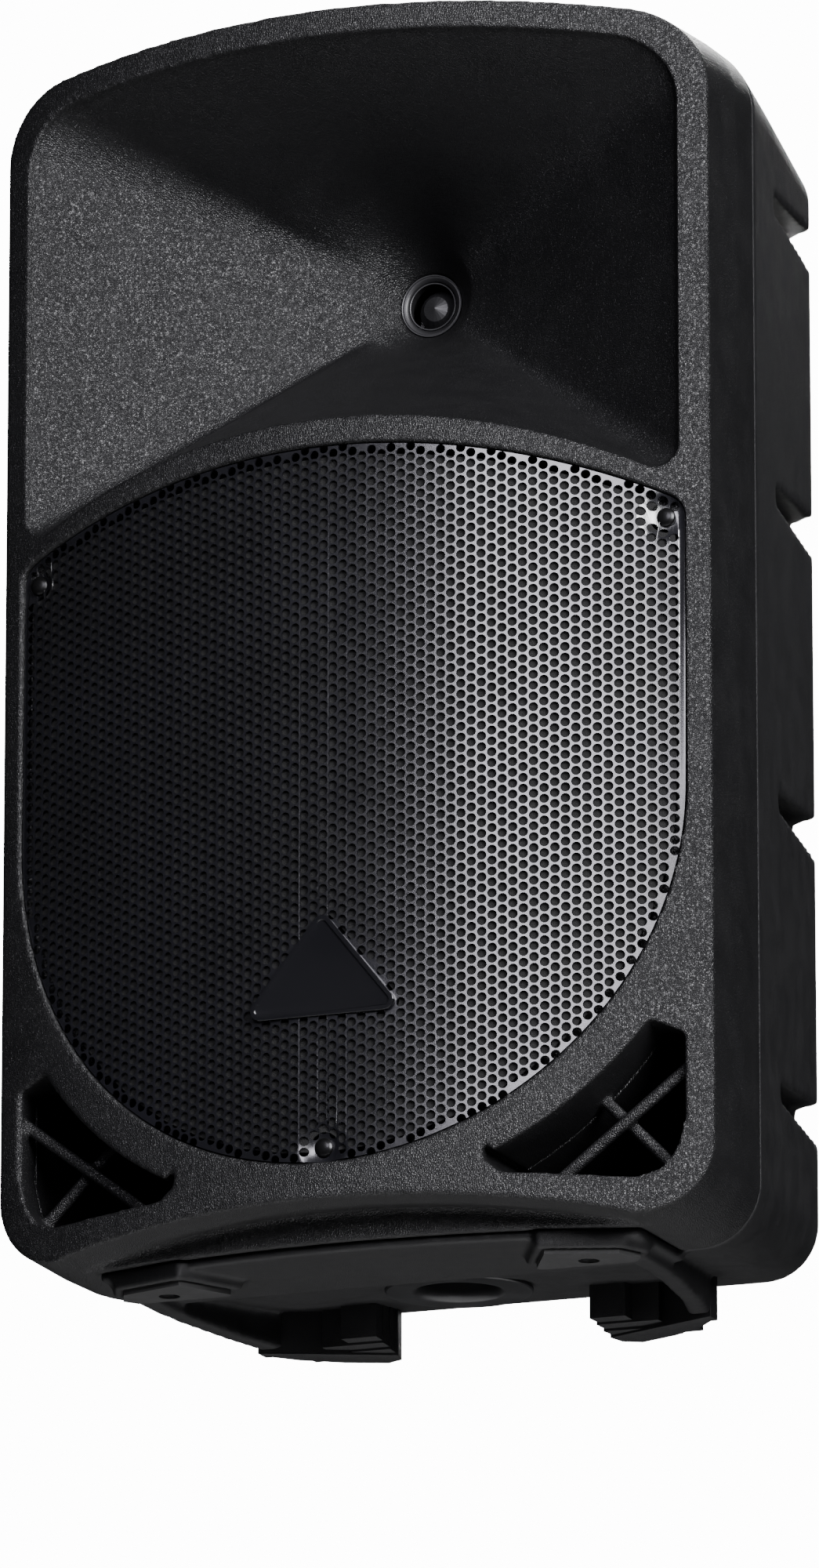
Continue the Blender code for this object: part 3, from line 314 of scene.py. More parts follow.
def boolean(obj, other, operation="DIFFERENCE"):
    mod = obj.modifiers.new(operation.lower(), "BOOLEAN")
    mod.operation = operation
    mod.solver = "MANIFOLD"
    mod.object = other
    return obj


def cut(obj, *others):
    for other in others:
        boolean(obj, other)
    return obj


def join(obj, *others):
    for other in others:
        boolean(obj, other, "UNION")
    return obj


# ---------------------------------------------------------------- outlines
def arc(centre, radius, start, end, count):
    """Points on an arc, angles in degrees from +X."""
    steps = [math.radians(start + (end - start) * i / (count - 1)) for i in range(count)]
    return [(centre[0] + radius * math.cos(a), centre[1] + radius * math.sin(a)) for a in steps]


def mirrored(right):
    """A closed outline from its right half, listed from the top down."""
    left = [(-x, z) for x, z in reversed(right) if abs(x) > 1e-6]
    return right + left


def section(at, inset=0.0):
    """The cabinet's outline across one depth, moved in by inset."""
    for a, b in zip(STATIONS, STATIONS[1:]):
        if a[0] <= at <= b[0]:
            break
    part = (at - a[0]) / (b[0] - a[0])
    half, top, foot, top_r, foot_r = (p + (q - p) * part for p, q in zip(a[1:], b[1:]))
    half, top, foot = half - inset, top - inset, foot + inset
    top_r, foot_r = max(top_r - inset, 0.008), max(foot_r - inset, 0.008)
    crown = CROWN_RADIUS - inset
    hub = top - crown
    corner_z = hub + math.sqrt((crown - top_r) ** 2 - (half - top_r) ** 2)
    lean = math.degrees(math.atan2(corner_z - hub, half - top_r))
    right = arc((0.0, hub), crown, 90.0, lean, 30)[:-1]
    right += arc((half - top_r, corner_z), top_r, lean, 0.0, 18)
    right += arc((half - foot_r, foot + foot_r), foot_r, 0.0, -90.0, 18)
    right.append((0.0, foot))
    return mirrored(right)


def body_loft(name, depths, inset=0.0):
    rings = [[(x, depth(d), z) for x, z in section(min(max(d, -0.01), REAR_DEPTH), inset)]
             for d in depths]
    return loft(name, rings)


def grille_outline(grow=0.0):
    """Arched top, straight sides and a round lower edge."""
    hub = GRILLE_TOP - GRILLE_ARC
    radius = GRILLE_ARC + grow
    half = GRILLE_HALF + grow
    corner = 0.010 + grow
    corner_z = hub + math.sqrt((radius - corner) ** 2 - (half - corner) ** 2)
    lean = math.degrees(math.atan2(corner_z - hub, half - corner))
    right = arc((0.0, hub), radius, 90.0, lean, 30)[:-1]
    right += arc((half - corner, corner_z), corner, lean, 0.0, 10)
    for i in range(61):
        angle = math.pi / 2 * i / 60
        right.append((half * math.cos(angle), GRILLE_Z - (GRILLE_DROP + grow) * math.sin(angle)))
    right[-1] = (0.0, right[-1][1])
    return mirrored(right)


def horn_outline(grow=0.0):
    """The horn's mouth: arched top and foot, straight sides, rounded corners."""
    half = HORN_HALF + grow
    top_r = 0.030 + grow
    foot_r = 0.010 + grow
    hub = HORN_TOP + grow - CROWN_RADIUS
    corner_z = hub + math.sqrt((CROWN_RADIUS - top_r) ** 2 - (half - top_r) ** 2)
    lean = math.degrees(math.atan2(corner_z - hub, half - top_r))
    right = arc((0.0, hub), CROWN_RADIUS, 90.0, lean, 30)[:-1]
    right += arc((half - top_r, corner_z), top_r, lean, 0.0, 16)
    side = right[-1]
    foot_hub = HORN_FOOT - grow - HORN_FOOT_ARC
    bend = HORN_FOOT_ARC + foot_r
    foot_z = foot_hub + math.sqrt(bend ** 2 - (half - foot_r) ** 2)
    tilt = math.degrees(math.atan2(foot_z - foot_hub, half - foot_r))
    for i in range(1, 30):
        right.append((side[0], side[1] + (foot_z - side[1]) * i / 30))
    right += arc((half - foot_r, foot_z), foot_r, 0.0, tilt - 180.0, 10)
    right += arc((0.0, foot_hub), HORN_FOOT_ARC, tilt, 90.0, 30)[1:]
    right[-1] = (0.0, right[-1][1])
    return mirrored(right)


def horn_rings(grow=0.0):
    """Rings from in front of the mouth to behind the throat."""
    mouth = horn_outline()
    angles = [math.atan2(z - HORN_Z, x) for x, z in mouth]
    rings = []
    steps = 24
    for i in range(-1, steps + 1):
        part = i / steps
        ring = []
        for (x, z), angle in zip(mouth, angles):
            target = (HORN_ROUND * math.cos(angle), HORN_Z + HORN_ROUND * math.sin(angle))
            px = x + (target[0] - x) * part
            pz = z + (target[1] - z) * part
            out = Vector((px, pz - HORN_Z)).normalized() * grow
            face = bow(x) + HORN_STRAIGHT
            deep = face + (HORN_ROUND_DEPTH - face) * part
            if i < 0:
                px, pz, deep = x, z, -0.05
            ring.append((px + out.x, depth(deep), pz + out.y))
        rings.append(ring)
    tail = THROAT_DEPTH + FLANGE_THICK + (0.001 if grow == 0 else 0.0)
    for deep in (THROAT_DEPTH, tail):
        rings.append([((THROAT + grow) * math.cos(a), depth(deep), HORN_Z
                       + (THROAT + grow) * math.sin(a)) for a in angles])
    return rings


def port_outline(grow=0.0):
    """The right-hand bass port: a three-sided opening that follows the grille's edge."""
    a_axis = GRILLE_HALF + 0.0185 - grow
    b_axis = GRILLE_DROP + 0.0185 - grow
    edge = []
    for i in range(24):
        angle = math.radians(36.0 + (64.0 - 36.0) * i / 23)
        edge.append((a_axis * math.cos(angle), GRILLE_Z - b_axis * math.sin(angle)))
    edge = [p for p in edge if p[0] < 0.160 + grow]
    outer = [(0.160 + grow, edge[0][1] - 0.006), (0.160 + grow, 0.052 - grow),
             (0.157 + grow, 0.039 - grow), (0.150 + grow, 0.030 - grow), (0.140 + grow, 0.0262 - grow)]
    inner = [(0.082 - grow, 0.0300 - grow), (0.0745 - grow, 0.0360 - grow), (0.0735 - grow, 0.0440)]
    return outer + inner + list(reversed(edge))


def flipped(outline):
    return [(-x, z) for x, z in reversed(outline)]


def bar(name, start, end, deep, way):
    """A round brace across a port, between two (x, z) points at one depth."""
    a = Vector((start[0] * way, depth(deep), start[1]))
    b = Vector((end[0] * way, depth(deep), end[1]))
    obj = rod(name, (0, 0, 0), BAR_RADIUS, (b - a).length, "Z", sides=32)
    turn = (b - a).to_track_quat("Z", "Y").to_matrix().to_4x4()
    obj.matrix_world = Matrix.Translation((a + b) / 2) @ turn
    return obj


def lip_depth(x, back=0.0):
    """Depth of the toe recess's rear wall, the second lip under the front."""
    return 0.0345 + x ** 2 / 0.85 + back


def front_shell():
    shell = body_loft("front_shell", (-0.010, 0.030, 0.052, 0.075, 0.090, PARTING - GAP / 2))
    xs = [ACROSS * (i / 60 - 1) for i in range(121)]
    face = plate("cut_face", [(x, depth(bow(x) - FACE_PROUD)) for x in xs]
                 + [(ACROSS, depth(-0.06)), (-ACROSS, depth(-0.06))], -0.05, 0.65, "XY")
    behind = plate("cut_face_back", [(x, depth(bow(x) - FACE_PROUD + WALL)) for x in xs]
                   + [(ACROSS, depth(-0.06)), (-ACROSS, depth(-0.06))], -0.05, 0.65, "XY")
    inside = body_loft("inside_front", (-0.005, 0.030, 0.075, PARTING + 0.01), WALL)
    well = plate("well_wall", grille_outline(WALL), depth(-0.05), depth(BAFFLE + BAFFLE_THICK), "XZ")
    horn_wall = loft("horn_wall", horn_rings(HORN_WALL))
    cut(inside, behind, well, horn_wall)
    for side, turn in (("right", list), ("left", flipped)):
        wall = plate("port_wall_" + side, turn(port_outline(0.003)), depth(-0.05), depth(0.050), "XZ")
        boolean(inside, wall)
    boolean(inside, toe_solid("toe_wall", WALL))
    flange = rod("horn_flange", (0, depth(THROAT_DEPTH + FLANGE_THICK / 2), HORN_Z), DRIVER_RADIUS,
                 FLANGE_THICK, sides=96)
    join(shell, horn_wall)
    cut(shell, face, inside)
    join(shell, flange)
    recess = plate("cut_recess", grille_outline(), depth(-0.05), depth(BAFFLE), "XZ")
    for i, (x, z) in enumerate(GRILLE_SCREWS):
        start = bow(x) + CUP_DEPTH + GAP
        post = rod(f"screw_post_{i}", (x, depth(start + 0.02), z), 0.0050, 0.04, sides=40)
        boolean(recess, post)
    hole = rod("cut_woofer", (0, depth(0.05), GRILLE_Z), WOOFER_HOLE, 0.10, sides=144)
    horn = loft("cut_horn", horn_rings())
    cut(shell, recess, hole, horn)
    for side, turn in (("right", list), ("left", flipped)):
        port = plate("cut_port_" + side, turn(port_outline()), depth(-0.05), depth(0.06), "XZ")
        way = 1 if side == "right" else -1
        for i, (start, end, deep) in enumerate(PORT_BARS):
            boolean(port, bar(f"port_bar_{side}_{i}", start, end, deep, way))
        boolean(shell, port)
    cut(shell, toe_solid("cut_toe", 0.0), tongue_solid("cut_tongue", GAP, -0.01, FLOOR_TOP + GAP))
    for side, way in (("right", 1), ("left", -1)):
        room = [(x * way, depth(d)) for x, d in spread(PLATE_OUTLINE, BOSS_EDGE + GAP)]
        boolean(shell, plate("cut_boss_room_" + side, room, -0.01, FLOOR_TOP + GAP, "XY"))
    for i, (x, z) in enumerate(GRILLE_SCREWS):
        boolean(shell, rod(f"cut_pilot_{i}", (x, depth(bow(x) + 0.004), z), 0.0023, 0.024, sides=12))
    return shell


def toe_outline(grow):
    """Section across the recess under the front's lower edge."""
    top_mid = 0.0230 + grow
    half = 0.142 + grow
    right = [(0.0, top_mid)]
    for i in range(1, 25):
        x = 0.13 * i / 24
        right.append((x, top_mid - (0.779 - math.sqrt(0.779 ** 2 - x ** 2))))
    right += [(half, 0.0085 + grow / 2), (half, -0.02), (0.0, -0.02)]
    return mirrored(right)


def toe_solid(name, grow):
    """The space under the front's lower edge, back to the second lip."""
    body = plate(name, toe_outline(grow), depth(-0.05), depth(0.12), "XZ")
    xs = [ACROSS * (i / 40 - 1) for i in range(81)]
    keep = plate(name + "_lip", [(x, depth(lip_depth(x, grow - 0.006))) for x in xs]
                 + [(ACROSS, depth(0.2)), (-ACROSS, depth(0.2))], -0.05, 0.10, "XY")
    return cut(body, keep)


def tongue_solid(name, grow, low, high):
    """The rear shell's floor where it runs forward between the front shell's lower corners."""
    half = TONGUE_HALF + grow
    xs = [half * (i / 40 - 1) for i in range(81)]
    outline = [(x, depth(lip_depth(x, -grow))) for x in xs]
    outline += [(half, depth(0.112)), (-half, depth(0.112))]
    return plate(name, outline, low, high, "XY")


def foot_outline(layer):
    """Plan of one terrace of a rear foot; layer 3 is the rear rim."""
    start = (0.196, 0.205, 0.214, 0.223)[layer]
    outer = (0.070, 0.083, 0.096, 0.1115)[layer]
    rear = [(0.1115, 0.196), (0.108, 0.206), (0.099, 0.217), (0.082, 0.2295), (0.063, 0.238)]
    reach = [p for p in rear if p[0] < outer - 0.002] or [rear[-1]]
    first = start if layer < 3 else 0.196
    return [(0.0525, start), (outer, first), (outer, reach[0][1] - 0.0005)] + reach + [(0.0545, 0.233)]


def notch(name, z, way, grow=0.0):
    """A grip notch in the side wall: low in front, taller and deeper to the rear corner."""
    tip, end = depth(NOTCH_TIP - grow), depth(NOTCH_END)
    outline = [(tip, z + 0.001 - grow), (tip, z + 0.009 + grow), (end, z + 0.0215 + grow),
               (end, z - grow)]
    low, high = (-grow, 0.022) if way > 0 else (-0.022, grow)
    piece = plate(name, outline, low, high, "YZ")
    piece.matrix_world = (Matrix.Translation((NOTCH_SEAT * way, depth(NOTCH_TIP), 0))
                          @ Matrix.Rotation(math.radians(NOTCH_SWING) * way, 4, "Z")
                          @ Matrix.Translation((0, -depth(NOTCH_TIP), 0)))
    return piece


def rear_shell():
    shell = body_loft("rear_shell", (PARTING + GAP / 2, 0.150, 0.196, 0.242, REAR_DEPTH))
    inside = body_loft("inside_rear", (PARTING - 0.004, 0.150, 0.242, REAR_DEPTH - WALL), WALL)
    well = box("amp_well_wall", (-AMP_HALF - WALL, depth(AMP_FLOOR - WALL), AMP_LOW - WALL),
               (AMP_HALF + WALL, depth(0.30), AMP_HIGH + WALL))
    grip = box("handle_well_wall", (-0.066, depth(0.127), 0.530), (0.066, depth(0.213), 0.62))
    socket = rod("socket_wall", (0, depth(POLE_DEPTH), 0.03), 0.027, 0.10, "Z", sides=32)
    cut(inside, well, grip, socket)
    for side, way in (("right", 1), ("left", -1)):
        for i, z in enumerate(NOTCH_FLOORS):
            boolean(inside, notch(f"notch_wall_{side}_{i}", z, way, WALL))
    boolean(shell, inside)
    join(shell, tongue_solid("tongue", 0.0, FLOOR_LOW, FLOOR_TOP))
    for side, way in (("right", 1), ("left", -1)):
        boss = plate("boss_" + side, [(x * way, depth(d)) for x, d in boss_outline()], BOSS_FACE,
                     0.0100, "XY")
        join(shell, boss)
        front = ((0.1140, 0.0735), (0.1250, 0.0735), (0.1245, 0.1090), (0.1140, 0.1090))
        back = ((0.1140, 0.1065), (0.1245, 0.1065), (0.1235, 0.125), (0.1170, 0.170), (0.1112, 0.198),
                (0.1000, 0.198), (0.1070, 0.170), (0.1130, 0.125))
        for part, outline, top in (("front", front, FLOOR_TOP - 0.001), ("back", back, 0.0260)):
            ridge = plate(f"ridge_{side}_{part}", [(x * way, depth(d)) for x, d in outline], BOSS_FACE,
                          top, "XY")
            join(shell, ridge)
        for i, z in enumerate(NOTCH_FLOORS):
            boolean(shell, notch(f"cut_notch_{side}_{i}", z, way))
    for side, way in (("right", 1), ("left", -1)):
        pocket = plate("cut_boss_" + side, [(x * way, depth(d)) for x, d in spread(PLATE_OUTLINE, GAP)],
                       -0.01, PLATE_THICK + GAP, "XY")
        pilot = rod("cut_foot_pilot_" + side, (PLATE_SCREW[0] * way, depth(PLATE_SCREW[1]), 0.006),
                    0.0019, 0.010, "Z", sides=12)
        cut(shell, pocket, pilot)
    amp = box("cut_amp_well", (-AMP_HALF, depth(AMP_FLOOR), AMP_LOW), (AMP_HALF, depth(0.32), AMP_HIGH))
    opening = box("cut_amp_opening", (-AMP_HALF + 0.009, depth(0.2), AMP_LOW + 0.009),
                  (AMP_HALF - 0.009, depth(0.3), AMP_HIGH - 0.009))
    grip_cut = box("cut_handle_well", (-0.062, depth(0.131), 0.534), (0.062, depth(0.209), 0.65))
    bore = rod("cut_socket_bore", (0, depth(POLE_DEPTH), 0.03), 0.0218 + GAP, 0.20, "Z", sides=32)
    seat = rod("cut_socket_seat", (0, depth(POLE_DEPTH), 0.0), 0.0345, 2 * (POLE_FACE + 0.0025 + GAP),
               "Z", sides=40)
    cut(shell, amp, opening, grip_cut, bore, seat)
    return shell


def boss_outline():
    return spread(PLATE_OUTLINE, BOSS_EDGE)


def spread(points, by):
    """An outline moved outwards by a distance, corner by corner."""
    count = len(points)
    area = sum(points[i][0] * points[(i + 1) % count][1] - points[(i + 1) % count][0] * points[i][1]
               for i in range(count))
    turn = 1.0 if area > 0 else -1.0
    result = []
    for i in range(count):
        a = Vector(points[i - 1])
        b = Vector(points[i])
        c = Vector(points[(i + 1) % count])
        first = (b - a).normalized()
        second = (c - b).normalized()
        n_first = Vector((first.y, -first.x)) * turn
        n_second = Vector((second.y, -second.x)) * turn
        mid = (n_first + n_second).normalized()
        result.append(tuple(b + mid * (by / max(mid.dot(n_first), 0.4))))
    return result


def badge_outline(grow=0.0):
    """A triangle with rounded corners, point up."""
    radius = 0.0045 + grow
    corners = (((0.0, 0.1482), 30.0, 150.0), ((-0.0300, 0.1110), 150.0, 270.0),
               ((0.0300, 0.1110), 270.0, 390.0))
    points = []
    for centre, start, end in corners:
        points += arc(centre, radius, start, end, 5)
    return points


# ---------------------------------------------------------------- surfaces
def node(tree, kind, **inputs):
    made = tree.nodes.new(kind)
    for key, value in inputs.items():
        name = key.replace("_", " ")
        target = made.inputs.get(name) or made.inputs[key]
        if isinstance(value, bpy.types.NodeSocket):
            tree.links.new(value, target)
        else:
            target.default_value = value
    return made


def noise(tree, where, scale, detail=3.0, rough=0.55):
    return node(tree, "ShaderNodeTexNoise", Vector=where, Scale=scale, Detail=detail,
                Roughness=rough).outputs["Fac"]


def spread_to(tree, value, low, high, start=0.3, end=0.7):
    made = node(tree, "ShaderNodeMapRange", Value=value)
    made.inputs["From Min"].default_value = start
    made.inputs["From Max"].default_value = end
    made.inputs["To Min"].default_value = low
    made.inputs["To Max"].default_value = high
    return made.outputs["Result"]


def mix_colour(tree, value, first, second):
    made = tree.nodes.new("ShaderNodeMix")
    made.data_type = "RGBA"
    tree.links.new(value, made.inputs["Factor"])
    made.inputs["A"].default_value = (*first, 1.0)
    made.inputs["B"].default_value = (*second, 1.0)
    return made.outputs["Result"]


def surface(name, colour, tint, rough, metallic=0.0, grain=None, fine=900.0, fine_height=0.00003,
            specular=0.5, coat=0.0, sheen=0.0):
    """A material with mottled colour and gloss, fine roughness, and an optional pebbled grain.

    grain is (cells per metre, height in metres); tint is the second colour of the mottling.
    """
    mat = bpy.data.materials.new(name)
    mat.use_nodes = True
    tree = mat.node_tree
    shader = tree.nodes["Principled BSDF"]
    where = tree.nodes.new("ShaderNodeTexCoord").outputs["Object"]
    cloud = noise(tree, where, 14.0, 5.0)
    tree.links.new(mix_colour(tree, spread_to(tree, cloud, 0.0, 1.0), colour, tint),
                   shader.inputs["Base Color"])
    patch = noise(tree, where, 60.0, 4.0)
    tree.links.new(spread_to(tree, patch, rough[0], rough[1]), shader.inputs["Roughness"])
    shader.inputs["Metallic"].default_value = metallic
    shader.inputs["Specular IOR Level"].default_value = specular
    shader.inputs["Coat Weight"].default_value = coat
    shader.inputs["Coat Roughness"].default_value = 0.12
    shader.inputs["Sheen Weight"].default_value = sheen
    height = noise(tree, where, fine, 2.0)
    bump = node(tree, "ShaderNodeBump", Height=height, Strength=1.0, Distance=fine_height)
    if grain:
        cells = node(tree, "ShaderNodeTexVoronoi", Scale=grain[0], Randomness=0.95)
        warp = node(tree, "ShaderNodeTexNoise", Vector=where, Scale=grain[0] * 0.6, Detail=1.0)
        shift = tree.nodes.new("ShaderNodeVectorMath")
        shift.operation = "SCALE"
        tree.links.new(warp.outputs["Color"], shift.inputs[0])
        shift.inputs["Scale"].default_value = 0.9 / grain[0]
        place = tree.nodes.new("ShaderNodeVectorMath")
        tree.links.new(where, place.inputs[0])
        tree.links.new(shift.outputs["Vector"], place.inputs[1])
        cells.feature = "DISTANCE_TO_EDGE"
        tree.links.new(place.outputs["Vector"], cells.inputs["Vector"])
        pebble = spread_to(tree, cells.outputs["Distance"], 0.0, 1.0, 0.0, 0.35)
        bump = node(tree, "ShaderNodeBump", Height=pebble, Strength=1.0, Distance=grain[1],
                    Normal=bump.outputs["Normal"])
    tree.links.new(bump.outputs["Normal"], shader.inputs["Normal"])
    return mat


LOOK = {
    "grained_shell": surface("grained_shell", (0.0032, 0.0032, 0.0035), (0.0046, 0.0046, 0.005),
                             (0.37, 0.46), grain=(1150.0, 0.00020), specular=0.36),
    "rear_plastic": surface("rear_plastic", (0.0032, 0.0032, 0.0036), (0.0046, 0.0046, 0.005),
                            (0.46, 0.58), grain=(1700.0, 0.00008), specular=0.32),
    "grille_paint": surface("grille_paint", (0.004, 0.004, 0.005), (0.006, 0.006, 0.008), (0.20, 0.27),
                            metallic=0.0, fine=2600.0, fine_height=0.00004, specular=0.9, coat=0.3),
    "black_screw": surface("black_screw", (0.012, 0.012, 0.012), (0.022, 0.022, 0.023), (0.22, 0.38),
                           metallic=0.85),
    "gloss_badge": surface("gloss_badge", (0.004, 0.004, 0.005), (0.006, 0.006, 0.007), (0.06, 0.11),
                           fine=300.0, fine_height=0.000004, specular=0.6, coat=0.8),
    "soft_rubber": surface("soft_rubber", (0.010, 0.010, 0.010), (0.016, 0.016, 0.016), (0.62, 0.80),
                           grain=(1500.0, 0.00006)),
    "paper_cone": surface("paper_cone", (0.003, 0.003, 0.003), (0.005, 0.005, 0.005), (0.70, 0.90),
                          fine=1400.0, fine_height=0.00010, sheen=0.1),
    "cast_metal": surface("cast_metal", (0.020, 0.020, 0.021), (0.030, 0.030, 0.032), (0.45, 0.60),
                          metallic=0.4, grain=(1300.0, 0.00008)),
    "ferrite": surface("ferrite", (0.030, 0.030, 0.031), (0.050, 0.050, 0.052), (0.60, 0.80),
                       fine=800.0, fine_height=0.00008),
    "bright_metal": surface("bright_metal", (0.62, 0.62, 0.64), (0.74, 0.74, 0.76), (0.18, 0.32),
                            metallic=1.0, fine=1800.0, fine_height=0.00001),
    "spider_cloth": surface("spider_cloth", (0.40, 0.28, 0.12), (0.50, 0.36, 0.17), (0.80, 0.95),
                            grain=(1200.0, 0.00015)),
    "copper_coil": surface("copper_coil", (0.50, 0.22, 0.09), (0.62, 0.30, 0.14), (0.25, 0.40),
                           metallic=1.0, grain=(1800.0, 0.0001)),
    "painted_steel": surface("painted_steel", (0.007, 0.007, 0.0075), (0.011, 0.011, 0.012),
                             (0.38, 0.52), fine=2400.0, fine_height=0.00003),
    "circuit_green": surface("circuit_green", (0.015, 0.09, 0.035), (0.02, 0.13, 0.05), (0.30, 0.45),
                             grain=(500.0, 0.00008)),
    "knob_plastic": surface("knob_plastic", (0.014, 0.014, 0.015), (0.020, 0.020, 0.021), (0.32, 0.45),
                            fine=2000.0),
    "jack_plastic": surface("jack_plastic", (0.006, 0.006, 0.0065), (0.009, 0.009, 0.010), (0.34, 0.46),
                            fine=2000.0),
    "light_pipe": surface("light_pipe", (0.10, 0.42, 0.14), (0.14, 0.50, 0.18), (0.10, 0.18), coat=0.5),
    "grey_foam": surface("grey_foam", (0.10, 0.10, 0.10), (0.15, 0.15, 0.15), (0.90, 1.0),
                         grain=(700.0, 0.0006)),
    "black_foam": surface("black_foam", (0.002, 0.002, 0.002), (0.004, 0.004, 0.004), (0.90, 1.0),
                          grain=(1600.0, 0.0004)),
    "ring_edge": surface("ring_edge", (0.03, 0.03, 0.032), (0.045, 0.045, 0.047), (0.30, 0.40),
                         metallic=0.3, fine=1800.0, fine_height=0.00001),
    "white_print": surface("white_print", (0.60, 0.60, 0.60), (0.68, 0.68, 0.68), (0.45, 0.60)),
}


# ---------------------------------------------------------------- finishing pieces
def settle(obj, name, slot, body="cabinet", voxel=0.0, rounds=0, sharp=35.0, stands_for=()):
    """Applies a shape's modifiers, optionally remeshes and rounds it, and makes it a finished piece."""
    if voxel:
        skin = obj.modifiers.new("skin", "REMESH")
        skin.mode = "VOXEL"
        skin.voxel_size = voxel
        relax = obj.modifiers.new("relax", "SMOOTH")
        relax.factor = 0.5
        relax.iterations = rounds
    bpy.context.view_layer.update()
    graph = bpy.context.evaluated_depsgraph_get()
    mesh = bpy.data.meshes.new_from_object(obj.evaluated_get(graph))
    mesh.transform(obj.matrix_world)
    mesh.name = name
    mesh.materials.clear()
    mesh.materials.append(LOOK[slot])
    piece = bpy.data.objects.new(name, mesh)
    LOOKS.objects.link(piece)
    mesh.shade_smooth()
    if not voxel:
        mesh.set_sharp_from_angle(angle=math.radians(sharp))
    bpy.data.objects.remove(obj)
    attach(piece, body)
    if stands_for:
        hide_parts(*stands_for)
    return piece


# ---------------------------------------------------------------- grille
def grille_holes(margin):
    """A prism for each punched hole, on a staggered grid inside the sheet's edge."""
    edge = grille_outline(-margin)
    sides = 12
    radius = HOLE / 2 / math.cos(math.pi / sides)
    bm = bmesh.new()
    columns = int(GRILLE_HALF / HOLE_COLUMN) + 1
    rows = int(0.36 / HOLE_ROW)
    for column in range(-columns, columns + 1):
        x = column * HOLE_COLUMN
        for row in range(rows):
            z = 0.03 + (row + 0.5 * (column % 2)) * HOLE_ROW
            if not inside_outline(edge, x, z) or in_badge(x, z):
                continue
            if any(math.hypot(x - sx, z - sz) < SCREW_KEEP_OUT for sx, sz in GRILLE_SCREWS):
                continue
            rings = []
            for y in (depth(-0.02), depth(0.07)):
                rings.append([bm.verts.new((x + radius * math.cos(math.tau * (i + 0.5) / sides), y,
                                            z + radius * math.sin(math.tau * (i + 0.5) / sides)))
                              for i in range(sides)])
            for i in range(sides):
                j = (i + 1) % sides
                bm.faces.new((rings[0][i], rings[0][j], rings[1][j], rings[1][i]))
            bm.faces.new(list(reversed(rings[0])))
            bm.faces.new(rings[1])
    bmesh.ops.recalc_face_normals(bm, faces=bm.faces)
    mesh = bpy.data.meshes.new("holes")
    bm.to_mesh(mesh)
    bm.free()
    return add_object("holes", mesh)


def inside_outline(outline, x, z):
    count = 0
    for (x0, z0), (x1, z1) in zip(outline, outline[1:] + outline[:1]):
        if (z0 > z) != (z1 > z) and x < x0 + (z - z0) / (z1 - z0) * (x1 - x0):
            count += 1
    return count % 2 == 1


def in_badge(x, z):
    return inside_outline(badge_outline(0.0005), x, z)


def dimple(x, z):
    """How far the sheet is pressed in at a point, round its screws."""
    deep = 0.0
    for sx, sz in GRILLE_SCREWS:
        away = math.hypot(x - sx, z - sz)
        part = min(max(away - 0.0045, 0.0) / 0.0080, 1.0)
        deep = max(deep, DIMPLE * (0.5 + 0.5 * math.cos(math.pi * part)))
    return deep


def visual_grille():
    xs = [ACROSS * (i / 70 - 1) for i in range(141)]
    front = [(x, depth(bow(x))) for x in xs]
    back = [(x, depth(bow(x) + SHEET)) for x in reversed(xs)]
    sheet = plate("sheet", front + back, 0.0, 0.60, "XY")
    boolean(sheet, plate("sheet_edge", grille_outline(-0.0006), depth(-0.05), depth(0.08), "XZ"),
            "INTERSECT")
    boolean(sheet, grille_holes(0.0012))
    for i, (x, z) in enumerate(GRILLE_SCREWS):
        boolean(sheet, rod(f"screw_room_{i}", (x, depth(0.02), z), 0.0024, 0.08, sides=24))
    piece = settle(sheet, "perforated_grille", "grille_paint", stands_for=("grille",), sharp=30.0)
    keep_largest(piece.data)
    for vertex in piece.data.vertices:
        vertex.co.y += dimple(vertex.co.x, vertex.co.z)
    mesh = piece.data
    mesh.update()
    normals = []
    for face in mesh.polygons:
        spots = [mesh.vertices[i].co for i in face.vertices]
        on_front = all(p.y < depth(bow(p.x)) + dimple(p.x, p.z) + SHEET / 4 for p in spots)
        normals += [sheet_normal(p.x, p.z) if on_front else tuple(face.normal) for p in spots]
    mesh.normals_split_custom_set(normals)
    return piece


def sheet_normal(x, z):
    """The outward direction of the bowed and dimpled sheet's front at a point."""
    step = 0.0004
    across = (bow(x + step) + dimple(x + step, z) - bow(x - step) - dimple(x - step, z)) / (2 * step)
    upward = (dimple(x, z + step) - dimple(x, z - step)) / (2 * step)
    return tuple(Vector((across, -1.0, upward)).normalized())


def keep_largest(mesh):
    """Drops the loose crumbs that holes leave where they cross an edge."""
    bm = bmesh.new()
    bm.from_mesh(mesh)
    seen = set()
    groups = []
    for first in bm.verts:
        if first in seen:
            continue
        seen.add(first)
        group = [first]
        for vert in group:
            for edge in vert.link_edges:
                other = edge.other_vert(vert)
                if other not in seen:
                    seen.add(other)
                    group.append(other)
        groups.append(group)
    largest = max(groups, key=len)
    for group in groups:
        if group is not largest:
            bmesh.ops.delete(bm, geom=group, context="VERTS")
    bm.to_mesh(mesh)
    bm.free()


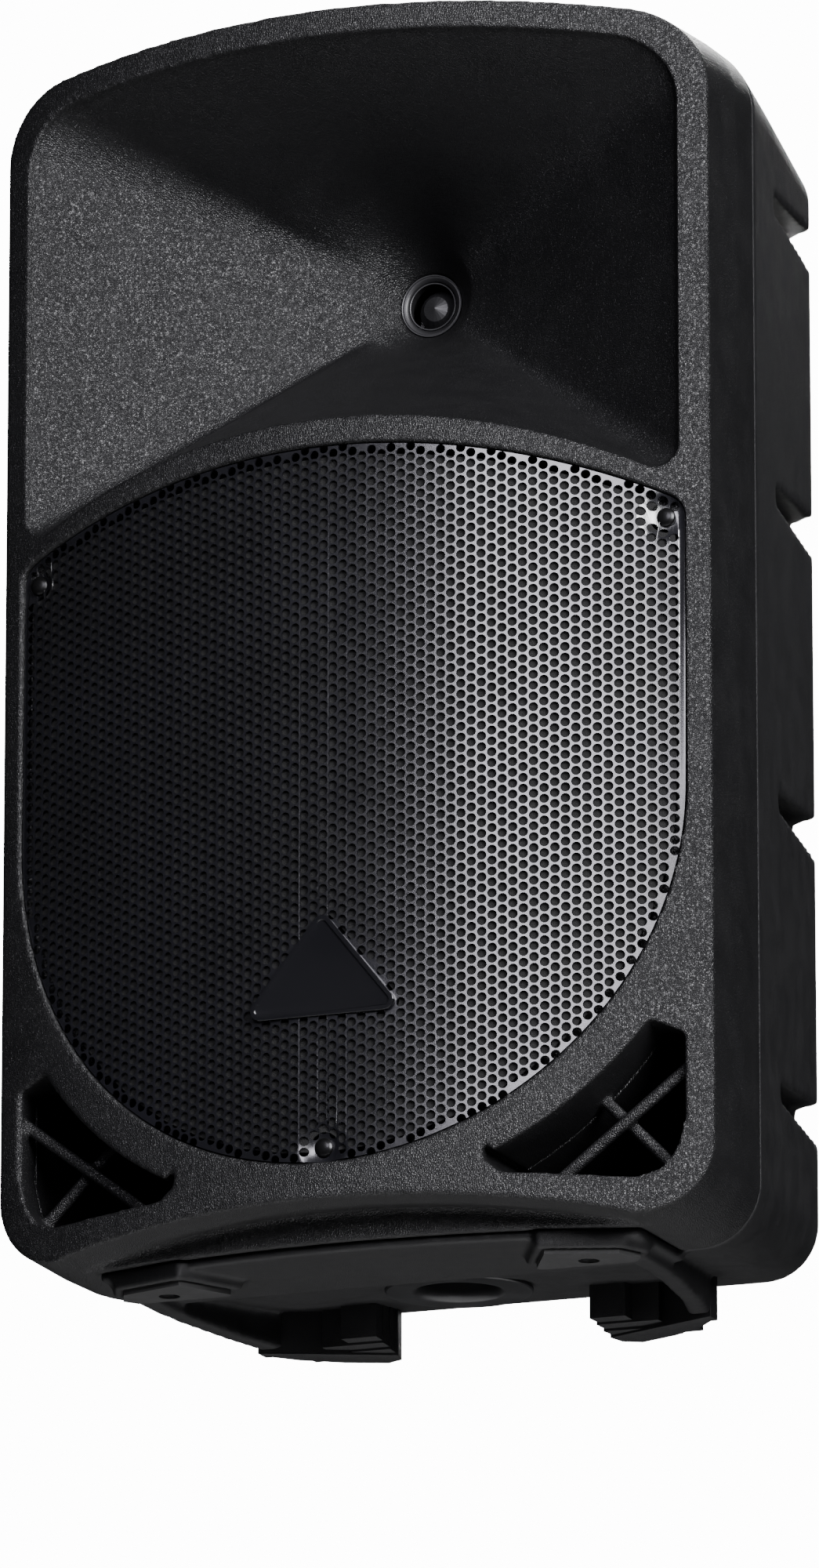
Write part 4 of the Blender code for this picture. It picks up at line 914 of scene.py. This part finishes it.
def pan_screw(name, at, out, head, slot, stands_for):
    """A pan-head screw with a cross recess; at is the seat's centre, out the way the head faces."""
    radius, tall = head
    stem = radius * 0.42
    shape = [(0, tall), (radius * 0.45, tall * 0.97), (radius * 0.75, tall * 0.80),
             (radius * 0.93, tall * 0.50), (radius, tall * 0.15), (radius, 0), (stem, 0),
             (stem, -0.006), (0, -0.006)]
    screw = turned("screw", shape, (0, 0, 0), "Z", sides=48)
    for turn in (20, 110):
        slot_cut = box("cross", (-radius * 0.55, -radius * 0.11, tall * 0.35),
                       (radius * 0.55, radius * 0.11, 0.01))
        spin = Matrix.Rotation(math.radians(turn), 4, "Z")
        slot_cut.matrix_world = spin @ Matrix.Translation(slot_cut.location)
        boolean(screw, slot_cut)
    turn = Vector((0, 0, 1)).rotation_difference(Vector(out)).to_matrix().to_4x4()
    screw.matrix_world = Matrix.Translation(at) @ turn
    return settle(screw, name, slot, stands_for=stands_for, sharp=25.0)


def visual_badge():
    """A plain gloss triangle with a raised rim."""
    low = depth(-0.0015)
    body = plate("badge_body", badge_outline(), low, depth(0.0030), "XZ")
    pan = plate("badge_pan", badge_outline(-0.0022), low - 0.01, low + 0.0007, "XZ")
    boolean(body, pan)
    bevel = body.modifiers.new("edge", "BEVEL")
    bevel.width = 0.0007
    bevel.segments = 4
    bevel.limit_method = "ANGLE"
    return settle(body, "plain_badge", "gloss_badge", stands_for=("badge",), sharp=50.0)


def foot(side, way):
    """A rear foot: four terraces, each wider and a little lower than the one in front of it."""
    whole = None
    for layer in range(4):
        outline = [(x * way, depth(d)) for x, d in foot_outline(layer)]
        low, high = 0.0036 - 0.0012 * layer, 0.0400 - 0.002 * layer
        step = plate(f"step_{side}_{layer}", outline, low, high, "XY")
        if whole:
            join(whole, step)
        else:
            whole = step
    edge = whole.modifiers.new("edge", "BEVEL")
    edge.width = 0.0009
    edge.segments = 3
    edge.limit_method = "ANGLE"
    edge.angle_limit = math.radians(40)
    return settle(whole, "rear_foot_" + side, "rear_plastic", sharp=50.0)


def throat():
    """The ring round the throat, with a thin dark grey bead at each edge."""
    at = (0, depth(0), HORN_Z)
    ring = turned("ring", [(0.0149, 0.1352), (0.0149, 0.1336), (0.0145, 0.1331), (0.0138, 0.1330),
                           (0.0126, 0.1336), (0.0118, 0.1345), (0.0118, 0.1352)], at, sides=96)
    settle(ring, "throat_lip", "jack_plastic", stands_for=("throat_ring",), sharp=60.0)
    for name, radius, deep in (("outer", 0.0147, 0.13305), ("inner", 0.0112, 0.13440)):
        bead = [(radius + 0.00035 * math.cos(a), deep - 0.00035 * math.sin(a))
                for a in [math.tau * i / 10 for i in range(10)]]
        settle(turned("bead", bead, at, sides=96), "throat_bead_" + name, "ring_edge")


def fluted_knob(name, x, z):
    """A skirted knob with finger flutes, a domed cap and a white pointer line."""
    base = FACE + 0.0008
    sides = 144
    levels = ((0.0, 0.0080, 0.0), (0.0008, 0.0082, 0.0), (0.0022, 0.0080, 0.0),
              (0.0030, 0.0070, 0.3), (0.0042, 0.0067, 1.0), (0.0108, 0.0061, 1.0),
              (0.0120, 0.0058, 0.6), (0.0128, 0.0050, 0.0), (0.0130, 0.0040, 0.0))
    rings = []
    for up, radius, flute in levels:
        ring = []
        for i in range(sides):
            a = math.tau * i / sides
            r = radius - 0.00035 * flute * (0.5 + 0.5 * math.cos(18 * a))
            ring.append((x + r * math.cos(a), depth(base + up), z + r * math.sin(a)))
        rings.append(ring)
    settle(loft("knob", rings), "cap_" + name, "knob_plastic", body=f"knob_{name}_body",
           stands_for=("knob_" + name,), sharp=50.0)
    line = box("pointer", (x - 0.00045, depth(base + 0.0118), z + 0.0012),
               (x + 0.00045, depth(base + 0.0132), z + 0.0052), edge=0.0001)
    settle(line, "pointer_" + name, "white_print", body=f"knob_{name}_body")
    for i in range(11):
        a = math.radians(-140 + 28 * i)
        radius = 0.0104
        mark = rod("mark", (x - radius * math.sin(a), depth(FACE + 0.00005), z + radius * math.cos(a)),
                   0.00050 if i % 5 else 0.00075, 0.0003, sides=20)
        settle(mark, f"scale_{name}_{i}", "white_print")


def smooth_pole_socket():
    """The turned pole socket with a rounded lead-in."""
    lead = [(0.0222 - 0.0039 * math.sin(a), POLE_FACE + 0.0049 * (1 - math.cos(a)))
            for a in [math.pi / 2 * i / 8 for i in range(9)]]
    profile = [(0, POLE_TOP + 0.0035), (0.0218, POLE_TOP + 0.0035), (0.0218, POLE_FACE + 0.0025),
               (0.0336, POLE_FACE + 0.0025), (0.0340, POLE_FACE + 0.0021), (0.0340, POLE_FACE + 0.0006),
               (0.0334, POLE_FACE)] + lead + [(POLE_BORE, POLE_TOP), (0, POLE_TOP)]
    settle(turned("socket", profile, (0, depth(POLE_DEPTH), 0), "Z", sides=128), "pole_cup",
           "jack_plastic", stands_for=("pole_socket",))


def handle_grip():
    """The carrying bar: a rounded bar with a ribbed underside."""
    bar_half = 0.0617
    rings = []
    count = 64
    steps = 160
    for i in range(steps + 1):
        x = -bar_half + 2 * bar_half * i / steps
        rib = RIB * math.cos(math.tau * x / RIB_PITCH) if abs(x) < RIBBED_HALF else 0.0
        ring = []
        for j in range(count):
            a = math.tau * j / count
            c, n = math.cos(a), math.sin(a)
            y = 0.0120 * math.copysign(abs(c) ** 0.6, c)
            z = 0.00725 * math.copysign(abs(n) ** 0.7, n)
            if n < 0:
                z += (RIB - rib) * n
            ring.append((x, depth(0.171) + y, 0.56225 + z))
        rings.append(ring)
    settle(loft("grip", rings), "handle_grip", "rear_plastic", stands_for=("handle_bar",), sharp=60.0)


def edge_breaks():
    """Small bevels on the carried-over pieces whose edges show."""
    for name in ("amp_panel", "combo_jack_1", "combo_jack_2", "link_jack", "jack_latch_1", "jack_latch_2",
                 "switch_frame", "power_rocker", "mains_inlet", "fuse_drawer", "foot_plate_left",
                 "foot_plate_right"):
        bevel = frame["nodes"][name].modifiers.new("edge", "BEVEL")
        bevel.width = 0.0007 if name.startswith("foot") else 0.00025
        bevel.segments = 2
        bevel.limit_method = "ANGLE"
        bevel.angle_limit = math.radians(50)


# ---------------------------------------------------------------- build
front = front_shell()
settle(front, "front_moulding", "grained_shell", voxel=VOXEL, rounds=ROUNDS, stands_for=("front_shell",))
rear = rear_shell()
settle(rear, "rear_moulding", "rear_plastic", voxel=VOXEL * 1.15, rounds=ROUNDS,
       stands_for=("rear_shell",))
visual_grille()
visual_badge()
for side, way in (("right", 1), ("left", -1)):
    foot(side, way)
for i, side in enumerate(("top_left", "top_right", "bottom")):
    x, z = GRILLE_SCREWS[i]
    pan_screw("screw_" + side, (x, depth(bow(x) + CUP_FLOOR - GAP), z), (0, -1, 0), (0.0045, 0.0024),
              "black_screw", ("grille_screw_" + side,))

throat()
smooth_pole_socket()
handle_grip()
edge_breaks()
for name, (x, z) in KNOBS.items():
    fluted_knob(name, x, z)
for i, (x, z) in enumerate(PANEL_SCREWS, 1):
    pan_screw(f"panel_fixing_{i}", (x, depth(FACE + GAP), z), (0, 1, 0), (0.0034, 0.0020),
              "black_screw", (f"panel_screw_{i}",))
for side, way in (("right", 1), ("left", -1)):
    pan_screw("foot_fixing_" + side, (PLATE_SCREW[0] * way, depth(PLATE_SCREW[1]), 0.0021), (0, 0, -1),
              (0.0045, 0.0016), "black_screw", ("foot_screw_" + side,))

for name, obj in frame["nodes"].items():
    slot = next(entry["material_slot"] for entry in frame["record"]["subparts"] if entry["node"] == name)
    obj.data.materials.clear()
    obj.data.materials.append(LOOK[slot])

for obj in list(TOOLS.objects):
    bpy.data.objects.remove(obj)


# ---------------------------------------------------------------- studio
def lamp(name, azimuth, elevation, distance, size, power, colour=(1.0, 1.0, 1.0)):
    """A soft light aimed at the cabinet's middle; azimuth 0 is in front, positive to the right."""
    light = bpy.data.lights.new(name, "AREA")
    light.shape = "RECTANGLE"
    light.size, light.size_y = size
    light.energy = power
    light.color = colour
    obj = bpy.data.objects.new(name, light)
    a, e = math.radians(azimuth), math.radians(elevation)
    way = Vector((math.sin(a) * math.cos(e), -math.cos(a) * math.cos(e), math.sin(e)))
    obj.location = Vector((0, 0, 0.30)) + way * distance
    obj.rotation_euler = way.to_track_quat("Z", "Y").to_euler()
    bpy.context.scene.collection.objects.link(obj)
    return obj


def studio():
    lamp("key", 50.0, 15.0, 3.0, (1.2, 1.8), 300.0, (0.97, 0.97, 1.0))
    lamp("front", 11.0, 17.0, 3.0, (1.4, 1.1), 68.0, (0.93, 0.91, 1.0))
    lamp("back", 205.0, 25.0, 3.0, (2.0, 2.0), 220.0)
    lamp("above", 180.0, 70.0, 3.0, (1.6, 1.6), 60.0)
    world = bpy.data.worlds.new("studio")
    bpy.context.scene.world = world
    world.use_nodes = True
    tree = world.node_tree
    tree.nodes.clear()
    seen = tree.nodes.new("ShaderNodeLightPath").outputs["Is Camera Ray"]
    plain = node(tree, "ShaderNodeBackground", Color=(1.0, 1.0, 1.0, 1.0), Strength=14.0)
    fill = node(tree, "ShaderNodeBackground", Color=(0.93, 0.95, 1.0, 1.0), Strength=0.02)
    mixed = tree.nodes.new("ShaderNodeMixShader")
    tree.links.new(seen, mixed.inputs[0])
    tree.links.new(fill.outputs[0], mixed.inputs[1])
    tree.links.new(plain.outputs[0], mixed.inputs[2])
    out = tree.nodes.new("ShaderNodeOutputWorld")
    tree.links.new(mixed.outputs[0], out.inputs["Surface"])

    bm = bmesh.new()
    bmesh.ops.create_grid(bm, x_segments=4, y_segments=4, size=FLOOR_HALF)
    mesh = bpy.data.meshes.new("floor")
    bm.to_mesh(mesh)
    bm.free()
    floor = bpy.data.objects.new("floor", mesh)
    floor.location.z = FLOOR_Z
    mesh.materials.append(surface("floor_paint", (0.80, 0.80, 0.80), (0.84, 0.84, 0.84), (0.7, 0.85),
                                  fine=40.0))
    bpy.context.scene.collection.objects.link(floor)


def camera():
    """A long lens, low and to the right."""
    data = bpy.data.cameras.new("camera")
    data.sensor_width = 36.0
    data.lens = LENS
    data.clip_end = 100.0
    obj = bpy.data.objects.new("camera", data)
    yaw, lift = math.radians(CAMERA_YAW), math.radians(CAMERA_LIFT)
    back = Vector((math.sin(yaw) * math.cos(lift), -math.cos(yaw) * math.cos(lift), math.sin(lift)))
    turn = back.to_track_quat("Z", "Y").to_matrix().to_4x4()
    obj.matrix_world = Matrix.Translation(CAMERA_AT) @ turn
    bpy.context.scene.collection.objects.link(obj)
    bpy.context.scene.camera = obj


studio()
camera()
